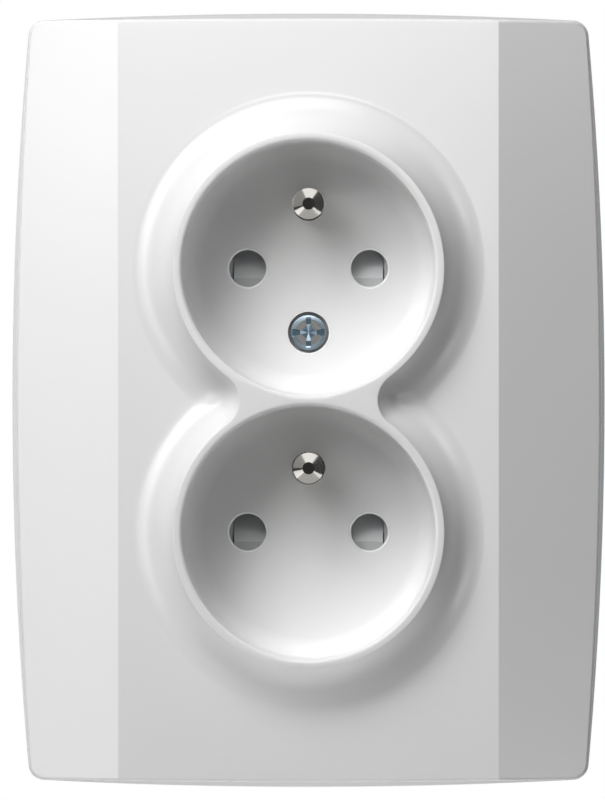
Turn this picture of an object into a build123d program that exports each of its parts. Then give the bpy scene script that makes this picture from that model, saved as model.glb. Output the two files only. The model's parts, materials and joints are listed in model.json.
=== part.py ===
"""Double socket outlet for one round wall box.

Frame: X to the right, Z up, Y into the wall. The origin is the middle of the cover on the wall
plane, so a height h in front of the wall is y = -h, and the wall box is at positive y.
"""

from math import asin, cos, degrees, radians, sin, sqrt, tan
import os

from build123d import *

os.makedirs("parts", exist_ok=True)

# Driving dimensions in millimetres

# Cover outline at the wall, and how far the front outline is drawn in by the draft of the sides
cover_width = 92.6
cover_height = 120.9
cover_corner_width = 87.2
cover_corner_height = 118.5
cover_corner_radius = 2.5
side_draft_inset = 1.13
end_draft_inset = 0.75
corner_draft_inset = 0.25
cover_wall = 2.0
front_edge_radius = 0.5
rib_height = 6.5
rib_thickness = 1.2

# Front of the cover: a flat middle zone between two creases, and flanks that fall to the sides
rim_height = 22.0
crease_half_width = 29.6
flank_slope = 0.45

# Wells for two plugs, and the collar around them
well_spacing = 41.14
well_radius = 19.7
well_depth = 15.0
well_draft = 1.0
well_floor_radius = 3.0
well_floor_thickness = 1.8
well_wall = 1.8
lip_radius = 0.65
rim_radius = 21.1
collar_radius = 27.6
collar_foot_slope = 20.0
collar_rim_slope = 67.0
collar_foot_radius = 3.4
waist_radius = 4.5

# Plug interface of each well
pin_hole_pitch = 19.0
pin_hole_radius = 2.85
pin_hole_chamfer = 0.3
pin_hole_chamfer_angle = 90.0
earth_pin_offset = 10.0
earth_pin_radius = 2.4
earth_pin_neck_radius = 2.1
earth_pin_neck_proud = 0.1
earth_pin_reach = 14.0
earth_pin_tip_radius = 0.95
earth_pin_cone = 1.05
earth_pin_gap = 0.15

# Cover screw, below the pin holes of the upper well
cover_screw_offset = 10.0
cover_screw_recess_radius = 3.2
cover_screw_boss_radius = 4.5
screw_seat_depth = 2.2
screw_head_radius = 2.75
screw_head_height = 2.0
screw_head_edge = 0.35
screw_radius = 1.45
thread_gap = 0.05
cover_screw_length = 11.0
recess_width = 0.95
recess_length = 4.2
recess_depth = 1.1
slot_depth = 0.7

# Shared clearances
slide_gap = 0.2
seat_gap = 0.2

# Steel bracket on the wall plane
bracket_width = 74.0
bracket_height = 72.0
bracket_thickness = 1.0
bracket_corner = 6.0
bracket_fold = 4.0
box_screw_spacing = 60.0
box_slot_length = 9.0
box_slot_width = 4.2

# Insulating base: a table in front of the bracket and a round block behind it
table_width = 44.0
table_height = 77.0
table_corner = 7.0
table_front = 5.0
block_radius = 28.6
block_half_width = 16.5
block_depth = 24.0
rear_cap_thickness = 2.0
rear_cap_edge = 0.6
rivet_x = 17.5
rivet_z = 33.0
rivet_radius = 1.5
rivet_head_radius = 2.6
rivet_head_height = 0.8
rivet_shoulder = 4.0

# Shutters
shutter_outer_x = 11.65
shutter_inner_x = 6.4
shutter_top = 3.1
shutter_bottom = -4.0
shutter_land = -1.45
shutter_back = 2.3
shutter_front = 4.9
shutter_ramp_foot = 2.8
shutter_bar_bottom = 1.1
shutter_bar_front = 3.9
shutter_travel = 6.2
pocket_floor = 2.1
spring_x = 9.0
spring_radius = 0.85
spring_wire = 0.36
spring_turns = 5
spring_slot_half_width = 1.35
spring_slot_bottom = -15.0
spring_end_gap = 0.05

# Earth bar
earth_bar_width = 8.0
earth_bar_thickness = 1.0
earth_bar_top = 35.5
earth_bar_bottom = -15.5
earth_leg_width = 6.0
earth_foot_length = 11.0
earth_bar_corner = 2.0
earth_bend_radius = 0.6
earth_shank_radius = 1.6
earth_collar_radius = 3.4
earth_collar_height = 1.0

# Contacts and terminals
contact_thickness = 0.8
contact_bar_width = 6.2
terminal_room = 8.0
contact_bar_depth = block_depth - terminal_room
contact_bar_end = 23.6
jaw_gap = 4.3
jaw_mouth = 5.4
jaw_thickness = 0.6
jaw_bend = 8.0
jaw_width = 6.0
jaw_front = 0.6
jaw_neck = 3.4
contact_slot_half_width = 3.5
contact_slot_end = 24.4
contact_entry_radius = 3.1
clamp_length = 9.0
clamp_width = 6.0
clamp_thickness = 1.2
clamp_corner = 1.0
wire_gap = 1.6
terminal_head_radius = 2.7
terminal_head_height = 2.0
terminal_screw_radius = 1.7
terminal_screw_length = 6.5
terminal_window_length = 18.0
terminal_window_width = 6.4
earth_window_length = 11.0
earth_terminal_z = -5.5
cap_screw_z = 19.0
cap_screw_radius = 1.2
cap_screw_head_radius = 2.3
cap_screw_head_height = 1.4
cap_screw_length = 9.0

# Claws
claw_z = 9.0
claw_width = 9.0
claw_thickness = 1.2
claw_knuckle_radius = 1.5
claw_leg = 18.0
claw_foot = 6.0
claw_tab_depth = 5.0
claw_tab_reach = 7.0
claw_screw_x = 22.0
claw_screw_end = 13.0
claw_slot_width = 4.2
claw_slot_margin = 0.5
claw_gap = 0.3
claw_tooth = 1.6

# Values that follow from the driving dimensions
well_z = well_spacing / 2
pin_x = pin_hole_pitch / 2
floor_height = rim_height - well_depth
floor_back = floor_height - well_floor_thickness
foot_sin = sin(radians(collar_foot_slope))
foot_cos = cos(radians(collar_foot_slope))
rim_sin = sin(radians(collar_rim_slope))
rim_cos = cos(radians(collar_rim_slope))
collar_foot_inner = collar_radius - collar_foot_radius * foot_sin
collar_foot_rise = collar_foot_radius * (1 - foot_cos)
collar_arc_radius = (collar_foot_inner - rim_radius) / (rim_sin - foot_sin)
collar_arc_rise = collar_arc_radius * (foot_cos - rim_cos)
plate_height = rim_height - collar_foot_rise - collar_arc_rise
waist_reach = rim_radius + waist_radius
waist_axis_x = sqrt(waist_reach**2 - well_z**2)
cover_screw_z = well_z - cover_screw_offset
bracket_front = bracket_thickness
earth_bar_front = bracket_front + earth_bar_thickness
screw_seat = floor_height - screw_seat_depth
wells = (("upper", well_z), ("lower", -well_z))
poles = (("live", -pin_x), ("neutral", pin_x))


def section(z):
    """Plane across the object at height z: local x is X, local y is the height in front of the wall."""
    return Plane(origin=(0, 0, z), x_dir=(1, 0, 0), z_dir=(0, 0, -1))


def side_section(x):
    """Plane along the object at a given x: local x is Z, local y is the height in front of the wall."""
    return Plane(origin=(x, 0, 0), x_dir=(0, 0, 1), z_dir=(1, 0, 0))


def front_axis(x, z):
    """Axis straight out of the wall at (x, z)."""
    return Axis((x, 0, z), (0, -1, 0))


def wall_plane(height):
    """Plane parallel to the wall, at a height in front of it."""
    return Plane.XZ.offset(height)


def bowed_outline(half_width, half_height, corner_x, corner_z, radius):
    """Face with four bowed sides through the given half sizes and corner points, corners rounded."""
    with BuildSketch(Plane.XY, mode=Mode.PRIVATE) as outline:
        with BuildLine():
            ThreePointArc((corner_x, -corner_z), (half_width, 0), (corner_x, corner_z))
            ThreePointArc((corner_x, corner_z), (0, half_height), (-corner_x, corner_z))
            ThreePointArc((-corner_x, corner_z), (-half_width, 0), (-corner_x, -corner_z))
            ThreePointArc((-corner_x, -corner_z), (0, -half_height), (corner_x, -corner_z))
        make_face()
        fillet(outline.vertices(), radius)
    return outline.sketch


def cover_blank(inset):
    """Drafted body of the cover, drawn in by inset on every side but the wall side."""
    top = plate_height - inset
    back = bowed_outline(
        cover_width / 2 - inset,
        cover_height / 2 - inset,
        cover_corner_width / 2 - inset,
        cover_corner_height / 2 - inset,
        cover_corner_radius,
    )
    front = bowed_outline(
        cover_width / 2 - side_draft_inset - inset,
        cover_height / 2 - end_draft_inset - inset,
        cover_corner_width / 2 - corner_draft_inset - inset,
        cover_corner_height / 2 - corner_draft_inset - inset,
        cover_corner_radius,
    )
    flank_drop = flank_slope * (cover_width / 2 - crease_half_width) * 2
    flank_reach = crease_half_width + flank_drop / flank_slope
    with BuildPart() as blank:
        with BuildSketch(wall_plane(0)):
            add(back)
        with BuildSketch(wall_plane(top)):
            add(front)
        loft(ruled=True)
        with BuildSketch(section(0)):
            for side in (-1, 1):
                with BuildLine():
                    Polyline(
                        (side * crease_half_width, top),
                        (side * flank_reach, top - flank_drop),
                        (side * flank_reach, top + flank_drop),
                        (side * crease_half_width, top + flank_drop),
                        close=True,
                    )
                make_face()
        extrude(amount=cover_height, both=True, mode=Mode.SUBTRACT)
    return blank.part


def plain_rectangle(width, depth, x, z):
    """Rectangle in a wall-parallel sketch, centred at (x, z)."""
    with Locations((x, z)):
        Rectangle(width, depth)


# Front cover: collar of one well, cut off half way to the other well
with BuildPart() as collar_ring:
    with BuildSketch(section(well_z)):
        with BuildLine():
            foot = JernArc((collar_radius, plate_height), (-1, 0), collar_foot_radius, -collar_foot_slope)
            flare = JernArc(foot @ 1, foot % 1, collar_arc_radius, collar_foot_slope - collar_rim_slope)
            Polyline(
                flare @ 1,
                (well_radius - well_wall, rim_height),
                (well_radius - well_wall, plate_height - cover_wall / 2),
                (collar_radius, plate_height - cover_wall / 2),
                foot @ 0,
            )
        make_face()
    revolve(axis=front_axis(0, well_z))
    split(bisect_by=Plane.XY, keep=Keep.TOP)

# Front cover: plateau between the wells, with the collar swept round both waists
with BuildPart() as waist_bridge:
    with BuildSketch(wall_plane(plate_height - cover_wall / 2)):
        with BuildLine():
            Polyline((0, well_z), (waist_axis_x, 0), (0, -well_z), (-waist_axis_x, 0), close=True)
        make_face()
    extrude(amount=rim_height - plate_height + cover_wall / 2)
    pit_slope = degrees(asin(rim_sin - waist_radius / collar_arc_radius))
    for side in (-1, 1):
        axis_x = side * waist_axis_x
        with BuildSketch(section(0)):
            with BuildLine():
                pit = JernArc(
                    (axis_x - side * waist_radius, rim_height),
                    (side * rim_cos, -rim_sin),
                    collar_arc_radius,
                    side * (collar_rim_slope - pit_slope),
                )
                Polyline(
                    pit @ 1,
                    (axis_x, rim_height + cover_wall),
                    (axis_x - side * waist_radius, rim_height + cover_wall),
                    pit @ 0,
                )
            make_face()
        revolve(axis=front_axis(axis_x, 0), mode=Mode.SUBTRACT)

# Front cover: stiffening ribs between the wells and the sides
with BuildPart() as cover_ribs:
    with BuildSketch(wall_plane(rib_height)):
        for z in (well_z, -well_z):
            plain_rectangle(cover_width, rib_thickness, 0, z)
        plain_rectangle(rib_thickness, cover_height, 0, 0)
    extrude(amount=rim_height)
    add(cover_blank(cover_wall / 2), mode=Mode.INTERSECT)

with BuildPart() as front_cover:
    add(cover_blank(0))
    front_faces = front_cover.faces().filter_by(lambda face: face.normal_at().Y < -0.8)
    front_edges = front_faces.edges().filter_by(
        lambda edge: abs(abs(edge.center().X) - crease_half_width) > front_edge_radius
    )
    fillet(front_edges, front_edge_radius)
    add(cover_blank(cover_wall), mode=Mode.SUBTRACT)
    add(cover_ribs.part)
    with BuildSketch(wall_plane(floor_back)):
        with Locations((0, well_z), (0, -well_z)):
            Circle(well_radius + well_wall)
    extrude(amount=plate_height - cover_wall / 2 - floor_back)
    with BuildSketch(wall_plane(earth_bar_front + seat_gap)):
        with Locations((0, cover_screw_z)):
            Circle(cover_screw_boss_radius)
    extrude(amount=floor_height - earth_bar_front - seat_gap)
    add(collar_ring.part)
    add(mirror(collar_ring.part, about=Plane.XY, mode=Mode.PRIVATE))
    add(waist_bridge.part)
    for name, z in wells:
        with BuildSketch(section(z)) as well_section:
            floor_corner = well_radius - (well_depth - lip_radius) * tan(radians(well_draft))
            with BuildLine():
                wall = Polyline(
                    (0, rim_height + cover_wall),
                    (0, floor_height),
                    (floor_corner, floor_height),
                    (well_radius, rim_height - lip_radius),
                )
                lip = RadiusArc(wall @ 1, (well_radius + lip_radius, rim_height), lip_radius)
                Polyline(lip @ 1, (well_radius + lip_radius, rim_height + cover_wall), wall @ 0)
            make_face()
            corner = well_section.vertices().sort_by_distance((floor_corner, -floor_height, z))[0]
            fillet(corner, well_floor_radius)
        revolve(axis=front_axis(0, z), mode=Mode.SUBTRACT)
    with Locations(wall_plane(floor_height)):
        with GridLocations(pin_hole_pitch, well_spacing, 2, 2):
            CounterSinkHole(
                pin_hole_radius,
                pin_hole_radius + pin_hole_chamfer,
                well_depth,
                counter_sink_angle=pin_hole_chamfer_angle,
            )
        with Locations((0, well_z + earth_pin_offset), (0, -well_z + earth_pin_offset)):
            Hole(earth_pin_radius + earth_pin_gap, well_depth)
        with Locations((0, cover_screw_z)):
            CounterBoreHole(screw_radius + slide_gap, cover_screw_recess_radius, screw_seat_depth, well_depth)
front_cover.part.label = "front_cover"
export_step(front_cover.part, "parts/front_cover.step")

# Cover screw: cheese head with a slot across it and a cross recess in the middle
with BuildPart() as cover_screw:
    with BuildSketch(wall_plane(screw_seat)):
        with Locations((0, cover_screw_z)):
            Circle(screw_head_radius)
    extrude(amount=screw_head_height)
    chamfer(cover_screw.edges().group_by(Axis.Y)[0], screw_head_edge)
    with BuildSketch(wall_plane(screw_seat)):
        with Locations((0, cover_screw_z)):
            Circle(screw_radius)
    extrude(amount=-cover_screw_length)
    with BuildSketch(wall_plane(screw_seat + screw_head_height)):
        plain_rectangle(2 * screw_head_radius, recess_width, 0, cover_screw_z)
    extrude(amount=-slot_depth, mode=Mode.SUBTRACT)
    with BuildSketch(wall_plane(screw_seat + screw_head_height)):
        plain_rectangle(recess_width, recess_length, 0, cover_screw_z)
        plain_rectangle(recess_length, recess_width, 0, cover_screw_z)
    extrude(amount=-recess_depth, mode=Mode.SUBTRACT)
cover_screw.part.label = "cover_screw"
export_step(cover_screw.part, "parts/cover_screw.step")

# Earth pins: riveted shank, collar on the earth bar, neck through the floor, cylindrical pin and conical end
for name, z in wells:
    pin_z = z + earth_pin_offset
    pin_top = floor_height + earth_pin_reach
    with BuildPart() as earth_pin:
        with BuildSketch(section(pin_z)):
            with BuildLine():
                Polyline(
                    (0, bracket_front),
                    (earth_shank_radius, bracket_front),
                    (earth_shank_radius, earth_bar_front),
                    (earth_collar_radius, earth_bar_front),
                    (earth_collar_radius, earth_bar_front + earth_collar_height),
                    (earth_pin_neck_radius, earth_bar_front + earth_collar_height),
                    (earth_pin_neck_radius, floor_height + earth_pin_neck_proud),
                    (earth_pin_radius, floor_height + earth_pin_neck_proud),
                    (earth_pin_radius, pin_top - earth_pin_cone),
                    (earth_pin_tip_radius, pin_top),
                    (0, pin_top),
                    close=True,
                )
            make_face()
        revolve(axis=front_axis(0, pin_z))
    earth_pin.part.label = f"{name}_earth_pin"
    export_step(earth_pin.part, f"parts/{name}_earth_pin.step")

# Earth bar: flat strip on the base, with a leg bent back to a foot for the earth terminal
with BuildPart() as earth_bar:
    bar_length = earth_bar_top - earth_bar_bottom
    with BuildSketch(wall_plane(bracket_front)):
        with Locations((0, (earth_bar_top + earth_bar_bottom) / 2)):
            RectangleRounded(earth_bar_width, bar_length, earth_bar_corner)
        with Locations((0, well_z + earth_pin_offset), (0, -well_z + earth_pin_offset)):
            Circle(earth_shank_radius + thread_gap, mode=Mode.SUBTRACT)
        with Locations((0, cover_screw_z)):
            Circle(screw_radius + thread_gap, mode=Mode.SUBTRACT)
    extrude(amount=earth_bar_thickness)
    with BuildSketch(side_section(0)):
        with BuildLine():
            FilletPolyline(
                (earth_bar_thickness, earth_bar_front),
                (earth_bar_thickness, -contact_bar_depth - earth_bar_thickness),
                (earth_bar_thickness - earth_foot_length, -contact_bar_depth - earth_bar_thickness),
                radius=earth_bend_radius + earth_bar_thickness,
            )
            Polyline(
                (earth_bar_thickness - earth_foot_length, -contact_bar_depth - earth_bar_thickness),
                (earth_bar_thickness - earth_foot_length, -contact_bar_depth),
            )
            FilletPolyline(
                (earth_bar_thickness - earth_foot_length, -contact_bar_depth),
                (0, -contact_bar_depth),
                (0, earth_bar_front),
                radius=earth_bend_radius,
            )
            Line((0, earth_bar_front), (earth_bar_thickness, earth_bar_front))
        make_face()
    extrude(amount=earth_leg_width / 2, both=True)
    with Locations(wall_plane(-contact_bar_depth)):
        with Locations((0, earth_terminal_z)):
            Hole(terminal_screw_radius + thread_gap, 2 * earth_bar_thickness)
earth_bar.part.label = "earth_bar"
export_step(earth_bar.part, "parts/earth_bar.step")

# Base housing: table in front of the bracket, round block with flat sides behind it
with BuildSketch(Plane.XY, mode=Mode.PRIVATE) as block_outline:
    Circle(block_radius)
    Rectangle(2 * block_half_width, 2 * block_radius, mode=Mode.INTERSECT)

with BuildPart() as base_housing:
    with BuildSketch(wall_plane(bracket_front)):
        RectangleRounded(table_width, table_height, table_corner)
    extrude(amount=table_front - bracket_front)
    with BuildSketch(wall_plane(bracket_front)):
        add(block_outline.sketch)
    extrude(amount=-bracket_front - block_depth)
    # Groove for the earth bar, pocket for each shutter, slots for its springs and the screw boss
    with BuildSketch(wall_plane(bracket_front)):
        groove_length = earth_bar_top - earth_bar_bottom + 2 * seat_gap
        groove_width = earth_bar_width + 2 * seat_gap
        plain_rectangle(groove_width, groove_length, 0, (earth_bar_top + earth_bar_bottom) / 2)
    extrude(amount=table_front - bracket_front, mode=Mode.SUBTRACT)
    with BuildSketch(wall_plane(pocket_floor)):
        for name, z in wells:
            pocket_top = z + shutter_top + slide_gap
            pocket_bottom = z + shutter_bottom - shutter_travel - slide_gap
            plain_rectangle(
                2 * (shutter_outer_x + slide_gap),
                pocket_top - pocket_bottom,
                0,
                (pocket_top + pocket_bottom) / 2,
            )
            slot_bottom = z + spring_slot_bottom
            for side in (-1, 1):
                plain_rectangle(
                    2 * spring_slot_half_width,
                    z - slot_bottom,
                    side * spring_x,
                    (z + slot_bottom) / 2,
                )
        with Locations((0, cover_screw_z)):
            Circle(cover_screw_boss_radius + seat_gap)
    extrude(amount=table_front - pocket_floor, mode=Mode.SUBTRACT)
    # Slots for the contact bars and the earth leg, open at the rear
    with BuildSketch(wall_plane(-block_depth)):
        for name, x in poles:
            plain_rectangle(2 * contact_slot_half_width, 2 * contact_slot_end, x, 0)
    extrude(amount=block_depth + jaw_front + seat_gap, mode=Mode.SUBTRACT)
    with BuildSketch(wall_plane(-block_depth)):
        leg_top = earth_bar_thickness + seat_gap
        leg_bottom = earth_bar_thickness - earth_foot_length - 2 * seat_gap
        plain_rectangle(groove_width, leg_top - leg_bottom, 0, (leg_top + leg_bottom) / 2)
    extrude(amount=block_depth + bracket_front, mode=Mode.SUBTRACT)
    with Locations(wall_plane(pocket_floor)):
        with GridLocations(pin_hole_pitch, well_spacing, 2, 2):
            Hole(contact_entry_radius, pocket_floor)
    with Locations(wall_plane(bracket_front)):
        with Locations((0, cover_screw_z)):
            Hole(screw_radius + slide_gap, cover_screw_length)
    with Locations(wall_plane(table_front)):
        with GridLocations(2 * rivet_x, 2 * rivet_z, 2, 2):
            CounterBoreHole(
                rivet_radius + thread_gap,
                rivet_head_radius + slide_gap,
                table_front - rivet_shoulder,
                table_front,
            )
        with Locations((claw_screw_x, -claw_z), (-claw_screw_x, claw_z)):
            Hole(screw_head_radius + 3 * slide_gap, table_front - bracket_front)
    with Locations(wall_plane(-block_depth)):
        with Locations((0, cap_screw_z), (0, -cap_screw_z)):
            Cylinder(
                cap_screw_radius + thread_gap,
                cap_screw_length,
                align=(Align.CENTER, Align.CENTER, Align.MIN),
                mode=Mode.SUBTRACT,
            )
base_housing.part.label = "base_housing"
export_step(base_housing.part, "parts/base_housing.step")

# Rear cap: closes the slots, with windows to the terminals
with BuildPart() as rear_cap:
    with BuildSketch(wall_plane(-block_depth)):
        add(block_outline.sketch)
        for name, x in poles:
            with Locations((x, 0)):
                SlotOverall(terminal_window_length, terminal_window_width, rotation=90, mode=Mode.SUBTRACT)
        with Locations((0, earth_terminal_z)):
            SlotOverall(earth_window_length, terminal_window_width, rotation=90, mode=Mode.SUBTRACT)
        with Locations((0, cap_screw_z), (0, -cap_screw_z)):
            Circle(cap_screw_radius + slide_gap, mode=Mode.SUBTRACT)
    extrude(amount=-rear_cap_thickness)
    chamfer(rear_cap.faces().sort_by(Axis.Y)[-1].outer_wire().edges(), rear_cap_edge)
rear_cap.part.label = "rear_cap"
export_step(rear_cap.part, "parts/rear_cap.step")

with BuildPart() as rear_cap_screws:
    cap_rear = block_depth + rear_cap_thickness
    for z in (cap_screw_z, -cap_screw_z):
        with BuildSketch(section(z)):
            with BuildLine():
                Polyline(
                    (0, -cap_rear - cap_screw_head_height),
                    (cap_screw_head_radius, -cap_rear - cap_screw_head_height),
                    (cap_screw_head_radius, -cap_rear),
                    (cap_screw_radius, -cap_rear),
                    (cap_screw_radius, -cap_rear + cap_screw_length),
                    (0, -cap_rear + cap_screw_length),
                    close=True,
                )
            make_face()
        revolve(axis=front_axis(0, z))
rear_cap_screws.part.label = "rear_cap_screws"
export_step(rear_cap_screws.part, "parts/rear_cap_screws.step")

# Steel bracket with two folded edges
with BuildPart() as mounting_bracket:
    with BuildSketch(wall_plane(0)):
        RectangleRounded(bracket_width, bracket_height, bracket_corner)
        Circle(block_radius + seat_gap, mode=Mode.SUBTRACT)
    extrude(amount=bracket_thickness)
    with BuildSketch(wall_plane(0)):
        for side in (-1, 1):
            bridge_inner = block_half_width + seat_gap
            bridge_width = bracket_width / 2 - bracket_corner - bridge_inner
            plain_rectangle(bridge_width, block_radius, side * (bridge_inner + bridge_width / 2), 0)
    extrude(amount=bracket_thickness)
    with BuildSketch(wall_plane(0)):
        for side in (-1, 1):
            plain_rectangle(
                bracket_thickness,
                bracket_height - 2 * bracket_corner,
                side * (bracket_width / 2 - bracket_thickness / 2),
                0,
            )
    extrude(amount=bracket_fold)
    with BuildSketch(wall_plane(0)):
        with GridLocations(box_screw_spacing, 0, 2, 1):
            SlotOverall(box_slot_length, box_slot_width)
        with Locations((claw_screw_x, -claw_z), (-claw_screw_x, claw_z)):
            Circle(screw_radius + slide_gap)
        with GridLocations(2 * rivet_x, 2 * rivet_z, 2, 2):
            Circle(rivet_radius + thread_gap)
    extrude(amount=bracket_thickness, mode=Mode.SUBTRACT)
mounting_bracket.part.label = "mounting_bracket"
export_step(mounting_bracket.part, "parts/mounting_bracket.step")

with BuildPart() as bracket_rivets:
    with BuildSketch(wall_plane(0)):
        with GridLocations(2 * rivet_x, 2 * rivet_z, 2, 2):
            Circle(rivet_radius)
    extrude(amount=rivet_shoulder)
    with BuildSketch(wall_plane(rivet_shoulder)):
        with GridLocations(2 * rivet_x, 2 * rivet_z, 2, 2):
            Circle(rivet_head_radius)
    extrude(amount=rivet_head_height)
bracket_rivets.part.label = "bracket_rivets"
export_step(bracket_rivets.part, "parts/bracket_rivets.step")

# Contact bars: a strip with a pair of spring jaws for each well, and a threaded hole in the middle
for name, x in poles:
    with BuildPart() as contact_bar:
        with BuildSketch(wall_plane(-contact_bar_depth)):
            plain_rectangle(contact_bar_width, 2 * contact_bar_end, x, 0)
            with Locations((x, 0)):
                Circle(terminal_screw_radius + thread_gap, mode=Mode.SUBTRACT)
        extrude(amount=-contact_thickness)
        for z in (well_z, -well_z):
            with BuildSketch(section(z)):
                for side in (-1, 1):
                    root = contact_bar_width / 2 - jaw_thickness
                    inner = ((root, -contact_bar_depth), (root, -jaw_bend), (jaw_gap / 2, -jaw_neck))
                    mouth = (jaw_mouth / 2, jaw_front)
                    shape = [*inner, mouth]
                    back = [(point[0] + jaw_thickness, point[1]) for point in reversed(shape)]
                    with BuildLine():
                        Polyline(*[(x + side * px, ph) for px, ph in shape + back], close=True)
                    make_face()
            extrude(amount=jaw_width / 2, both=True)
    contact_bar.part.label = f"{name}_contact_bar"
    export_step(contact_bar.part, f"parts/{name}_contact_bar.step")

# Terminals: clamp plate and screw behind each bar
terminals = (
    ("live", -pin_x, 0, contact_bar_depth + contact_thickness),
    ("neutral", pin_x, 0, contact_bar_depth + contact_thickness),
    ("earth", 0, earth_terminal_z, contact_bar_depth + earth_bar_thickness),
)
for name, x, z, bar_back in terminals:
    clamp_back = bar_back + wire_gap + clamp_thickness
    with BuildPart() as clamp_plate:
        with BuildSketch(wall_plane(-clamp_back)):
            with Locations((x, z)):
                RectangleRounded(clamp_width, clamp_length, clamp_corner)
                Circle(terminal_screw_radius + slide_gap, mode=Mode.SUBTRACT)
        extrude(amount=clamp_thickness)
    clamp_plate.part.label = f"{name}_clamp_plate"
    export_step(clamp_plate.part, f"parts/{name}_clamp_plate.step")

    with BuildPart() as terminal_screw:
        with BuildSketch(wall_plane(-clamp_back)):
            with Locations((x, z)):
                Circle(terminal_head_radius)
        extrude(amount=-terminal_head_height)
        with BuildSketch(wall_plane(-clamp_back)):
            with Locations((x, z)):
                Circle(terminal_screw_radius)
        extrude(amount=terminal_screw_length)
        with BuildSketch(wall_plane(-clamp_back - terminal_head_height)):
            plain_rectangle(2 * terminal_head_radius, recess_width, x, z)
        extrude(amount=slot_depth, mode=Mode.SUBTRACT)
    terminal_screw.part.label = f"{name}_terminal_screw"
    export_step(terminal_screw.part, f"parts/{name}_terminal_screw.step")

# Shutters: two ramped pads joined by a bar. A plug's pins drive them down against their springs
for name, z in wells:
    with BuildPart() as shutter:
        for side in (-1, 1):
            with BuildSketch(side_section(side * (shutter_inner_x + shutter_outer_x) / 2)):
                with BuildLine():
                    Polyline(
                        (z + shutter_bottom, shutter_back),
                        (z + shutter_top, shutter_back),
                        (z + shutter_top, shutter_ramp_foot),
                        (z + shutter_land, shutter_front),
                        (z + shutter_bottom, shutter_front),
                        close=True,
                    )
                make_face()
            extrude(amount=(shutter_outer_x - shutter_inner_x) / 2, both=True)
        with BuildSketch(wall_plane(shutter_back)):
            plain_rectangle(
                2 * shutter_inner_x,
                shutter_top - shutter_bar_bottom,
                0,
                z + (shutter_top + shutter_bar_bottom) / 2,
            )
        extrude(amount=shutter_bar_front - shutter_back)
    shutter.part.label = f"{name}_shutter"
    export_step(shutter.part, f"parts/{name}_shutter.step")

    spring_low = z + spring_slot_bottom + spring_wire / 2 + spring_end_gap
    spring_high = z + shutter_bottom - spring_wire / 2 - spring_end_gap
    spring_height = (pocket_floor + table_front) / 2
    with BuildPart() as springs:
        for side in (-1, 1):
            with BuildLine() as coil:
                Helix(
                    (spring_high - spring_low) / spring_turns,
                    spring_high - spring_low,
                    spring_radius,
                    center=(side * spring_x, -spring_height, spring_low),
                )
            with BuildSketch(Plane(origin=coil.line @ 0, z_dir=coil.line % 0)):
                Rectangle(spring_wire, spring_wire)
            sweep(path=coil.line, is_frenet=True)
    springs.part.label = f"{name}_shutter_springs"
    export_step(springs.part, f"parts/{name}_shutter_springs.step")

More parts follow.
